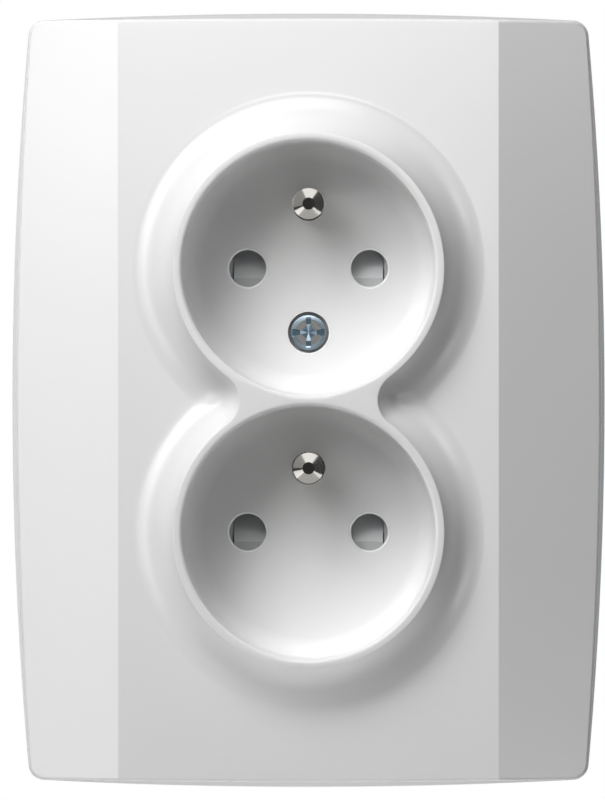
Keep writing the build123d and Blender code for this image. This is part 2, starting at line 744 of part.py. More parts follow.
# Claws: curled knuckle behind the bracket, slotted leg, tab for the screw and a toothed foot
knuckle_x = block_half_width + claw_gap + claw_knuckle_radius
knuckle_depth = claw_gap + claw_knuckle_radius
leg_inner = block_half_width + 2 * claw_gap
leg_outer = leg_inner + claw_thickness
foot_back = knuckle_depth + claw_leg
tab_front = knuckle_depth + claw_tab_depth - claw_thickness / 2
for name, side, z in (("left", -1, claw_z), ("right", 1, -claw_z)):
    with BuildPart() as claw:
        with BuildSketch(section(z)):
            with Locations((side * knuckle_x, -knuckle_depth)):
                Circle(claw_knuckle_radius)
            with BuildLine():
                Polyline(
                    (side * leg_inner, -knuckle_depth),
                    (side * leg_inner, -foot_back),
                    (side * (leg_outer + claw_foot), -foot_back),
                    (side * (leg_outer + claw_foot), -foot_back + claw_thickness),
                    (side * leg_outer, -foot_back + claw_thickness),
                    (side * leg_outer, -knuckle_depth),
                    close=True,
                )
            make_face()
            with BuildLine():
                Polyline(
                    (side * leg_inner, -tab_front),
                    (side * leg_inner, -tab_front - claw_thickness),
                    (side * (leg_outer + claw_tab_reach), -tab_front - claw_thickness),
                    (side * (leg_outer + claw_tab_reach), -tab_front),
                    close=True,
                )
            make_face()
        extrude(amount=claw_width / 2, both=True)
        # Window that the screw swings through, slot for the screw and the notches between the teeth
        with BuildSketch(side_section(side * leg_inner)):
            with BuildLine():
                Polyline(
                    (z - claw_slot_width / 2, -tab_front - 2 * claw_thickness),
                    (z + claw_slot_width / 2, -tab_front - 2 * claw_thickness),
                    (z + claw_slot_width / 2, -foot_back + 2 * claw_thickness),
                    (z - claw_slot_width / 2, -foot_back + 2 * claw_thickness),
                    close=True,
                )
            make_face()
        extrude(amount=2 * claw_thickness, both=True, mode=Mode.SUBTRACT)
        with BuildSketch(wall_plane(-tab_front)):
            slot_inner = leg_outer + claw_slot_margin
            slot_outer = claw_screw_x + screw_radius + claw_slot_margin / 2
            with Locations((side * (slot_inner + slot_outer) / 2, z)):
                SlotOverall(slot_outer - slot_inner, 2 * screw_radius + claw_slot_margin)
        extrude(amount=-claw_thickness, mode=Mode.SUBTRACT)
        with BuildSketch(wall_plane(-foot_back)):
            for tooth in (-1, 0, 1):
                with BuildLine():
                    tooth_z = z + tooth * claw_width / 3
                    tip = side * (leg_outer + claw_foot)
                    Polyline(
                        (tip, tooth_z - claw_tooth / 2),
                        (tip - side * claw_tooth, tooth_z),
                        (tip, tooth_z + claw_tooth / 2),
                        close=True,
                    )
                make_face()
        extrude(amount=claw_thickness, mode=Mode.SUBTRACT)
    claw.part.label = f"{name}_claw"
    export_step(claw.part, f"parts/{name}_claw.step")

    with BuildPart() as claw_screw:
        with BuildSketch(wall_plane(bracket_front)):
            with Locations((side * claw_screw_x, z)):
                Circle(screw_head_radius)
        extrude(amount=screw_head_height)
        with BuildSketch(wall_plane(bracket_front)):
            with Locations((side * claw_screw_x, z)):
                Circle(screw_radius)
        extrude(amount=-bracket_front - claw_screw_end)
        with BuildSketch(wall_plane(bracket_front + screw_head_height)):
            plain_rectangle(2 * screw_head_radius, recess_width, side * claw_screw_x, z)
        extrude(amount=-slot_depth, mode=Mode.SUBTRACT)
    claw_screw.part.label = f"{name}_claw_screw"
    export_step(claw_screw.part, f"parts/{name}_claw_screw.step")
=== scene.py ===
"""Looks of a double socket outlet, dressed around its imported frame.

Each sub-assembly is a class. A piece is modelled in millimetres, with x to the right, z up and a height
measured in front of the wall, and becomes a Blender object in metres in the frame of the solids.
"""

from __future__ import annotations

import json
import logging
import math
from collections.abc import Callable, Iterable
from dataclasses import dataclass, replace
from enum import Enum

import bmesh
import bpy
from mathutils import Matrix, Vector

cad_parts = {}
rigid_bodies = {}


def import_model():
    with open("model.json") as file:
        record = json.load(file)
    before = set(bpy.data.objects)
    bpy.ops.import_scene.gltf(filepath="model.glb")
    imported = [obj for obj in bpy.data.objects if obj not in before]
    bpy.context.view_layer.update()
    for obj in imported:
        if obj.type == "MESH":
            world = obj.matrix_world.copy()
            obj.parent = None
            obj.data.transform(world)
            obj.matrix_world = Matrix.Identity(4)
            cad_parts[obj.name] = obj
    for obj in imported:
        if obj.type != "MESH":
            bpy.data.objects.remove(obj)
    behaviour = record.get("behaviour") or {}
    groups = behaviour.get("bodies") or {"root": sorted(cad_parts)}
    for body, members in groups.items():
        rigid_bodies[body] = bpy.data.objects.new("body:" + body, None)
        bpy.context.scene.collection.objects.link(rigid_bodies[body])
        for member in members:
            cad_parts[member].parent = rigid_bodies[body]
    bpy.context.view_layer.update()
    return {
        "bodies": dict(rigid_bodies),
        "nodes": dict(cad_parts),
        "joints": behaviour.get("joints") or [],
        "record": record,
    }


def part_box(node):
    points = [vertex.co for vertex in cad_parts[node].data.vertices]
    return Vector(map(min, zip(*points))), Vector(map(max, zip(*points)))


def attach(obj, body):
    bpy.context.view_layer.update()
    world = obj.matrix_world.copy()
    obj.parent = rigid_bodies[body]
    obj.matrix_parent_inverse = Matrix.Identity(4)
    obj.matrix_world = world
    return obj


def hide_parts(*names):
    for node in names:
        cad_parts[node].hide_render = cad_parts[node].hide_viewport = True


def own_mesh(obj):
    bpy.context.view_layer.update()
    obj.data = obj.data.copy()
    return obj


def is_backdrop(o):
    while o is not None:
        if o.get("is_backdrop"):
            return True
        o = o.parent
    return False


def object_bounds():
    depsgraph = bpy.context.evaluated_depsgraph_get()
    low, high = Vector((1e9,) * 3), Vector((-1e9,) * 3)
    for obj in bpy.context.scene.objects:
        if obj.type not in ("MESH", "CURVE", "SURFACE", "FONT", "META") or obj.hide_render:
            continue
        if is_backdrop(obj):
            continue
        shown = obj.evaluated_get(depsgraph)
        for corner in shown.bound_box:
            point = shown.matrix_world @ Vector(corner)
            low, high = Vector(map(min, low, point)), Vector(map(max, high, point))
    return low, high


LOG = logging.getLogger("socket_outlet")
MILLIMETRE = 0.001
WELD_MM = 0.001
FACET_DEGREES = 0.5
OUTLET_BODY = "outlet"
WHOLE_PIECE = "whole"
OUT_OF_WALL = Vector((0.0, -1.0, 0.0))
Color = tuple[float, float, float]
Point = tuple[float, float, float]


class Grain(Enum):
    """Surface textures that a finish can carry."""

    MOULDED = "moulded_grain"
    PLATED = "plated_grain"
    ROLLED = "rolled_grain"


class GrainGroups:
    """Shader node groups shared by the finishes, each built once."""

    STRETCH = {Grain.MOULDED: (1, 1, 1), Grain.PLATED: (1, 1, 1), Grain.ROLLED: (14, 14, 1)}
    INPUTS = (
        ("Tone", "NodeSocketColor", (0.8, 0.8, 0.8, 1.0)),
        ("Shade", "NodeSocketColor", (0.7, 0.7, 0.7, 1.0)),
        ("Cloud Scale", "NodeSocketFloat", 60.0),
        ("Grain Scale", "NodeSocketFloat", 2500.0),
        ("Smooth", "NodeSocketFloat", 0.3),
        ("Rough", "NodeSocketFloat", 0.4),
    )
    OUTPUTS = {"Color": "NodeSocketColor", "Roughness": "NodeSocketFloat", "Height": "NodeSocketFloat"}

    def __init__(self) -> None:
        """Starts with no group built."""
        self._built: dict[Grain, bpy.types.ShaderNodeTree] = {}

    def get(self, grain: Grain) -> bpy.types.ShaderNodeTree:
        """Gives the node group of a grain.

        Args:
            grain: The texture wanted.

        Returns:
            The shader node group, built on its first use.
        """
        if grain not in self._built:
            self._built[grain] = self._build(grain.value, Vector(self.STRETCH[grain]))
        return self._built[grain]

    def _build(self, name: str, stretch: Vector) -> bpy.types.ShaderNodeTree:
        """Builds a group that turns two noises into a colour, a roughness and a height.

        Args:
            name: The group's name.
            stretch: Scale of the coordinates along X, Y and Z.

        Returns:
            The new node group.
        """
        tree = bpy.data.node_groups.new(name, "ShaderNodeTree")
        for label, kind, default in self.INPUTS:
            socket = tree.interface.new_socket(name=label, in_out="INPUT", socket_type=kind)
            socket.default_value = default
        for label, kind in self.OUTPUTS.items():
            tree.interface.new_socket(name=label, in_out="OUTPUT", socket_type=kind)
        nodes, links = tree.nodes, tree.links
        start, end = nodes.new("NodeGroupInput"), nodes.new("NodeGroupOutput")
        place = nodes.new("ShaderNodeTexCoord")
        turn = nodes.new("ShaderNodeMapping")
        turn.inputs["Scale"].default_value = stretch
        links.new(place.outputs["Object"], turn.inputs["Vector"])
        cloud, grain = nodes.new("ShaderNodeTexNoise"), nodes.new("ShaderNodeTexNoise")
        for noise, scale, detail in ((cloud, "Cloud Scale", 4.0), (grain, "Grain Scale", 2.0)):
            noise.inputs["Detail"].default_value = detail
            links.new(turn.outputs["Vector"], noise.inputs["Vector"])
            links.new(start.outputs[scale], noise.inputs["Scale"])
        tint = nodes.new("ShaderNodeMix")
        tint.data_type = "RGBA"
        links.new(cloud.outputs["Fac"], tint.inputs["Factor"])
        links.new(start.outputs["Shade"], tint.inputs["A"])
        links.new(start.outputs["Tone"], tint.inputs["B"])
        links.new(tint.outputs["Result"], end.inputs["Color"])
        both = nodes.new("ShaderNodeMath")
        both.operation = "MULTIPLY_ADD"
        both.inputs[1].default_value = 0.5
        half = nodes.new("ShaderNodeMath")
        half.operation = "MULTIPLY"
        half.inputs[1].default_value = 0.5
        links.new(cloud.outputs["Fac"], half.inputs[0])
        links.new(grain.outputs["Fac"], both.inputs[0])
        links.new(half.outputs["Value"], both.inputs[2])
        gloss = nodes.new("ShaderNodeMapRange")
        links.new(both.outputs["Value"], gloss.inputs["Value"])
        links.new(start.outputs["Smooth"], gloss.inputs["To Min"])
        links.new(start.outputs["Rough"], gloss.inputs["To Max"])
        links.new(gloss.outputs["Result"], end.inputs["Roughness"])
        links.new(grain.outputs["Fac"], end.inputs["Height"])
        return tree


GRAINS = GrainGroups()


@dataclass(frozen=True)
class Finish:
    """One surface finish: its colours, gloss and texture.

    Attributes:
        slot: Material slot of the record that it belongs to.
        tone: Lighter colour.
        shade: Darker colour of the faint clouds.
        gloss: Least and greatest roughness.
        metal: Metallic share, 0 or 1.
        grain: The texture.
        grain_mm: Size of the fine grain.
        cloud_mm: Size of the clouds.
        relief_mm: Depth of the grain.
        relief: Strength of the grain's bump.
        ior: Index of refraction.
        specular: Level of the plain reflection.
        zone: Part of the piece that it covers.
    """

    slot: str
    tone: Color
    shade: Color
    gloss: tuple[float, float]
    metal: float = 0.0
    grain: Grain = Grain.MOULDED
    grain_mm: float = 0.4
    cloud_mm: float = 15.0
    relief_mm: float = 0.02
    relief: float = 0.1
    ior: float = 1.5
    specular: float = 0.5
    zone: str = WHOLE_PIECE

    def material(self) -> bpy.types.Material:
        """Gives the finish's material.

        Returns:
            The material, made on the first call.
        """
        name = f"{self.slot}_{self.zone}"
        found = bpy.data.materials.get(name)
        if found is not None:
            return found
        made = bpy.data.materials.new(name)
        made.use_nodes = True
        nodes, links = made.node_tree.nodes, made.node_tree.links
        shader = nodes["Principled BSDF"]
        texture = nodes.new("ShaderNodeGroup")
        texture.node_tree = GRAINS.get(self.grain)
        texture.inputs["Tone"].default_value = (*self.tone, 1.0)
        texture.inputs["Shade"].default_value = (*self.shade, 1.0)
        texture.inputs["Cloud Scale"].default_value = 1.0 / (self.cloud_mm * MILLIMETRE)
        texture.inputs["Grain Scale"].default_value = 1.0 / (self.grain_mm * MILLIMETRE)
        texture.inputs["Smooth"].default_value = self.gloss[0]
        texture.inputs["Rough"].default_value = self.gloss[1]
        bump = nodes.new("ShaderNodeBump")
        bump.inputs["Strength"].default_value = self.relief
        bump.inputs["Distance"].default_value = self.relief_mm * MILLIMETRE
        links.new(texture.outputs["Color"], shader.inputs["Base Color"])
        links.new(texture.outputs["Roughness"], shader.inputs["Roughness"])
        links.new(texture.outputs["Height"], bump.inputs["Height"])
        links.new(bump.outputs["Normal"], shader.inputs["Normal"])
        shader.inputs["Metallic"].default_value = self.metal
        shader.inputs["IOR"].default_value = self.ior
        shader.inputs["Specular IOR Level"].default_value = self.specular
        return made


class Palette:
    """The finishes of the outlet, by material slot."""

    COVER = Finish("white_cover_plastic", (0.74, 0.74, 0.74), (0.73, 0.73, 0.73), (0.2, 0.22), relief=0.0)
    # Painted light: the wells' plastic is painted a little lighter than the cover's (0.78 against 0.74).
    # Their matt gloss and lower specular are the moulding's own.
    WELL_PAINTED_LIGHT = replace(
        COVER, tone=(0.78, 0.78, 0.78), shade=(0.77, 0.77, 0.77),
        gloss=(0.55, 0.6), specular=0.25, zone="well",
    )
    # Painted highlight: the rounds of the pin holes' front edges are painted whiter than the cover's
    # plastic.
    HOLE_EDGE_PAINTED_HIGHLIGHT = replace(
        COVER, tone=(0.88, 0.88, 0.88), shade=(0.87, 0.87, 0.87), gloss=(0.24, 0.28), zone="hole_edge_painted_highlight"
    )
    SHUTTER = Finish("grey_shutter_plastic", (0.66, 0.675, 0.68), (0.62, 0.635, 0.64), (0.35, 0.5))
    # Painted shade: the lip of each shutter, below its line, is painted darker than the rest of the same
    # plastic.
    SHUTTER_LIP_PAINTED_SHADE = replace(SHUTTER, tone=(0.6, 0.615, 0.62), shade=(0.57, 0.585, 0.59), zone="lip")
    BASE = Finish("dark_base_plastic", (0.045, 0.045, 0.05), (0.035, 0.035, 0.04), (0.4, 0.55), relief=0.2)
    TRAY = replace(BASE, tone=(0.5, 0.51, 0.52), shade=(0.46, 0.47, 0.48), zone="tray")
    SCREW = Finish(
        "zinc_plated_screw_steel", (0.35, 0.43, 0.49), (0.31, 0.39, 0.45), (0.28, 0.31),
        metal=1.0, grain=Grain.PLATED, grain_mm=0.12, cloud_mm=1.2,
    )
    SCREW_PAD = replace(SCREW, tone=(0.18, 0.175, 0.17), shade=(0.16, 0.155, 0.15), relief=0.0, zone="pad")
    # Painted shade: the floors of the slot and of the cross recess's wings are painted near black, where
    # shade falls in the recess.
    SCREW_SLOT_PAINTED_SHADE = replace(
        SCREW, tone=(0.06, 0.095, 0.12), shade=(0.045, 0.075, 0.095), relief=0.0, zone="slot"
    )
    SHEET = Finish(
        "galvanised_sheet_steel", (0.62, 0.63, 0.65), (0.48, 0.49, 0.51), (0.3, 0.45),
        metal=1.0, grain=Grain.PLATED, grain_mm=0.5, cloud_mm=5.0,
    )
    BRASS = Finish(
        "contact_brass", (0.8, 0.58, 0.26), (0.7, 0.48, 0.2), (0.22, 0.36),
        metal=1.0, grain=Grain.ROLLED, grain_mm=4.0, cloud_mm=30.0,
    )
    NICKEL = Finish(
        "nickel_plated_pin", (0.78, 0.76, 0.72), (0.74, 0.72, 0.68), (0.09, 0.12),
        metal=1.0, grain=Grain.PLATED, grain_mm=0.3, cloud_mm=2.0,
    )
    PIN_TIP = replace(NICKEL, gloss=(0.02, 0.03), relief=0.0, zone="tip")
    SPRING = Finish(
        "spring_steel", (0.5, 0.5, 0.52), (0.4, 0.4, 0.42), (0.25, 0.35),
        metal=1.0, grain=Grain.PLATED, grain_mm=0.3, cloud_mm=1.0,
    )

    @classmethod
    def by_slot(cls) -> dict[str, Finish]:
        """Gives every finish of a whole piece under the name of its slot."""
        found = (value for value in vars(cls).values() if isinstance(value, Finish))
        return {finish.slot: finish for finish in found if finish.zone == WHOLE_PIECE}


def only(items: Iterable, kind: type) -> list:
    """Picks the items of one kind out of mixed geometry."""
    return [item for item in items if isinstance(item, kind)]


def add_object(bm: bmesh.types.BMesh, name: str) -> bpy.types.Object:
    """Turns a modelled mesh into an object of the scene, and frees it.

    Args:
        bm: The mesh, which is used up.
        name: Name of the object and of its mesh.

    Returns:
        The object, at the origin.
    """
    mesh = bpy.data.meshes.new(name)
    bm.to_mesh(mesh)
    bm.free()
    made = bpy.data.objects.new(name, mesh)
    bpy.context.scene.collection.objects.link(made)
    return made


class Clay:
    """A mesh being modelled in millimetres, with heights in front of the wall."""

    def __init__(self) -> None:
        """Starts with an empty mesh."""
        self.bm = bmesh.new()

    @staticmethod
    def point(x: float, height: float, z: float) -> Vector:
        """Gives the place of a point at a height in front of the wall."""
        return Vector((x, -height, z))

    def vert(self, x: float, height: float, z: float) -> bmesh.types.BMVert:
        """Adds one vertex."""
        return self.bm.verts.new(self.point(x, height, z))

    def spin(
        self,
        geom: list,
        centre: Vector,
        axis: Vector,
        degrees: float,
        steps: int,
        full: bool = False,
        rise: float = 0.0,
    ) -> list:
        """Spins vertices or edges about an axis.

        Args:
            geom: What is spun.
            centre: A point on the axis.
            axis: Direction of the axis; the turn is right-handed about it.
            degrees: Angle of the spin.
            steps: Number of copies.
            full: Whether the last copy is welded to the first.
            rise: Travel along the axis over the whole spin.

        Returns:
            The geometry at the end of the spin.
        """
        spun = bmesh.ops.spin(
            self.bm,
            geom=geom,
            cent=centre,
            axis=axis,
            dvec=axis * (rise / steps),
            angle=math.radians(degrees),
            steps=steps,
            use_merge=full,
            use_normal_flip=False,
            use_duplicate=False,
        )
        return spun["geom_last"]

    def bridge(self, edges: Iterable[bmesh.types.BMEdge]) -> None:
        """Joins two edge loops with a band of faces."""
        bmesh.ops.bridge_loops(self.bm, edges=list(edges))

    def fill(self, edges: Iterable[bmesh.types.BMEdge]) -> None:
        """Fills a flat region bounded by one loop, less the loops inside it."""
        bmesh.ops.triangle_fill(self.bm, use_beauty=True, edges=list(edges), normal=OUT_OF_WALL)

    def rim(self, height: float, accept: Callable[[Vector], bool] = lambda middle: True) -> list:
        """Finds the open edges at a height.

        Args:
            height: Height in front of the wall.
            accept: Test of the middle of an edge.

        Returns:
            The edges with at most one face that lie at that height and pass the test.
        """
        found = []
        for edge in self.bm.edges:
            level = all(abs(vert.co.y + height) < WELD_MM for vert in edge.verts)
            if level and len(edge.link_faces) < 2 and accept((edge.verts[0].co + edge.verts[1].co) / 2):
                found.append(edge)
        return found

    def cut(self, geom: list, place: Vector, normal: Vector) -> list:
        """Cuts geometry by a plane and drops what lies on the normal's side.

        Args:
            geom: Vertices, edges and faces to cut.
            place: A point of the plane.
            normal: The plane's normal, towards what is dropped.

        Returns:
            The edges of the cut.
        """
        result = bmesh.ops.bisect_plane(
            self.bm, geom=geom, dist=WELD_MM / 10, plane_co=place, plane_no=normal, clear_outer=True
        )
        return only(result["geom_cut"], bmesh.types.BMEdge)

    def block(self, x: tuple[float, float], height: tuple[float, float], z: tuple[float, float]) -> list:
        """Adds a block.

        Args:
            x: Its two sides.
            height: Its back and front.
            z: Its lower and upper side.

        Returns:
            The block's vertices, edges and faces.
        """
        size = (abs(x[1] - x[0]), abs(height[1] - height[0]), abs(z[1] - z[0]), 1.0)
        place = self.point(sum(x) / 2, sum(height) / 2, sum(z) / 2)
        matrix = Matrix.Translation(place) @ Matrix.Diagonal(size)
        verts = bmesh.ops.create_cube(self.bm, size=1.0, matrix=matrix)["verts"]
        edges = {edge for vert in verts for edge in vert.link_edges}
        faces = {face for vert in verts for face in vert.link_faces}
        return [*verts, *edges, *faces]

    def everything(self) -> list:
        """Gives all vertices, edges and faces."""
        return [*self.bm.verts, *self.bm.edges, *self.bm.faces]

    def weld(self) -> None:
        """Merges vertices that share a place."""
        bmesh.ops.remove_doubles(self.bm, verts=self.bm.verts[:], dist=WELD_MM)

    def mirror(self, axis: str) -> None:
        """Adds the mirror image across the plane x = 0 or z = 0, welded along it."""
        bmesh.ops.mirror(self.bm, geom=self.everything(), matrix=Matrix(), merge_dist=WELD_MM, axis=axis)

    def bevel(self, geom: list, offset: float, segments: int, corners: bool = False) -> None:
        """Rounds edges, or the corners of an outline.

        Args:
            geom: The edges, or the corners' vertices.
            offset: Distance of the round's borders from the old edge or corner.
            segments: Number of faces or edges across the round.
            corners: Whether vertices are rounded instead of edges.
        """
        bmesh.ops.bevel(
            self.bm,
            geom=geom,
            offset=offset,
            offset_type="OFFSET",
            segments=segments,
            profile=0.5,
            affect="VERTICES" if corners else "EDGES",
            material=-1,
            clamp_overlap=not corners,
        )

    def soften(self, offset: float, degrees: float = 35.0, segments: int = 2) -> None:
        """Rounds every edge that is sharper than an angle.

        Args:
            offset: Distance of the round's borders from the old edge.
            degrees: Least angle between the edge's faces.
            segments: Number of faces across the round.
        """
        limit = math.radians(degrees)
        joined = [edge for edge in self.bm.edges if len(edge.link_faces) == 2]
        self.bevel([edge for edge in joined if edge.calc_face_angle() > limit], offset, segments)

    def carve(self, tool: Clay) -> None:
        """Cuts another closed shape out of this one, and uses it up.

        Args:
            tool: The shape to cut away.
        """
        made = []
        for clay in (self, tool):
            bmesh.ops.recalc_face_normals(clay.bm, faces=clay.bm.faces[:])
            made.append(add_object(clay.bm, "carving"))
        block, cutter = made
        carving = block.modifiers.new("carving", "BOOLEAN")
        carving.operation = "DIFFERENCE"
        carving.solver = "EXACT"
        carving.object = cutter
        self.bm = bmesh.new()
        self.bm.from_object(block, bpy.context.evaluated_depsgraph_get())
        for done in made:
            bpy.data.meshes.remove(done.data)

    def finish(self, name: str, sharp_degrees: float = 34.0) -> bpy.types.Object:
        """Turns the clay into an object in metres, at the origin.

        Args:
            name: Name of the object.
            sharp_degrees: Edges with a greater angle stay sharp.

        Returns:
            The object, smooth-shaded, with its normals outwards.
        """
        bmesh.ops.recalc_face_normals(self.bm, faces=self.bm.faces[:])
        limit = math.radians(sharp_degrees)
        for edge in self.bm.edges:
            edge.smooth = len(edge.link_faces) == 2 and edge.calc_face_angle() < limit
        for face in self.bm.faces:
            face.smooth = True
        loose = sum(1 for edge in self.bm.edges if len(edge.link_faces) != 2)
        bmesh.ops.scale(self.bm, vec=(MILLIMETRE,) * 3, verts=self.bm.verts[:])
        made = add_object(self.bm, name)
        LOG.info("%s: %d faces, %d edges without two faces", name, len(made.data.polygons), loose)
        weighted = made.modifiers.new("flat_faces", "WEIGHTED_NORMAL")
        weighted.keep_sharp = True
        return made


class Profile:
    """Half section of a turned shape, drawn as radius against height in the plane through its axis."""

    def __init__(self, clay: Clay, x: float, z: float, radius: float, height: float) -> None:
        """Starts the section.

        Args:
            clay: The mesh to draw in.
            x: Place of the axis.
            z: Place of the axis.
            radius: First radius.
            height: First height.
        """
        self.clay = clay
        self.x = x
        self.z = z
        self.tip = clay.vert(x + radius, height, z)
        self.edges: list[bmesh.types.BMEdge] = []

    def line(self, radius: float, height: float) -> Profile:
        """Draws a straight run.

        Args:
            radius: Radius of its end.
            height: Height of its end.

        Returns:
            The profile itself.
        """
        end = self.clay.vert(self.x + radius, height, self.z)
        self.edges.append(self.clay.bm.edges.new((self.tip, end)))
        self.tip = end
        return self

    def arc(self, radius: float, height: float, degrees: float, steps: int) -> Profile:
        """Draws an arc.

        Args:
            radius: Radius of the arc's centre from the axis.
            height: Height of the arc's centre.
            degrees: Angle of the arc, positive from the axis's outside towards the front.
            steps: Number of straight parts.

        Returns:
            The profile itself.
        """
        before = set(self.clay.bm.edges)
        centre = self.clay.point(self.x + radius, height, self.z)
        last = self.clay.spin([self.tip], centre, Vector((0, 0, -1)), degrees, steps)
        self.edges += [edge for edge in self.clay.bm.edges if edge not in before]
        self.tip = only(last, bmesh.types.BMVert)[0]
        return self

    def turn(self, steps: int) -> None:
        """Spins the section all the way round its axis.

        Args:
            steps: Number of copies round the axis.
        """
        verts = {vert for edge in self.edges for vert in edge.verts}
        centre = self.clay.point(self.x, 0, self.z)
        self.clay.spin([*verts, *self.edges], centre, OUT_OF_WALL, 360, steps, True)


def dress_piece(piece: bpy.types.Object, finish: Finish, body: str, *nodes: str) -> bpy.types.Object:
    """Gives a piece its finish and says what it stands for.

    Args:
        piece: The new piece.
        finish: Its finish.
        body: Body that it moves with.
        *nodes: Nodes of the frame that it replaces.

    Returns:
        The piece.
    """
    piece.data.materials.clear()
    piece.data.materials.append(finish.material())
    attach(piece, body)
    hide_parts(*nodes)
    LOG.info("%s rides on %s for %s", piece.name, body, ", ".join(nodes))
    return piece


def paint_zone(
    piece: bpy.types.Object, finish: Finish, inside: Callable[[Vector, Vector], bool], flat: bool = False
) -> None:
    """Gives part of a piece a finish of its own.

    Args:
        piece: The piece, which has its main finish already.
        finish: The zone's finish.
        inside: Test of a face's middle, in millimetres, and normal.
        flat: Whether the zone's faces are shaded flat.
    """
    piece.data.materials.append(finish.material())
    last = len(piece.data.materials) - 1
    for face in piece.data.polygons:
        if inside(face.center / MILLIMETRE, face.normal):
            face.material_index = last
            face.use_smooth = not flat


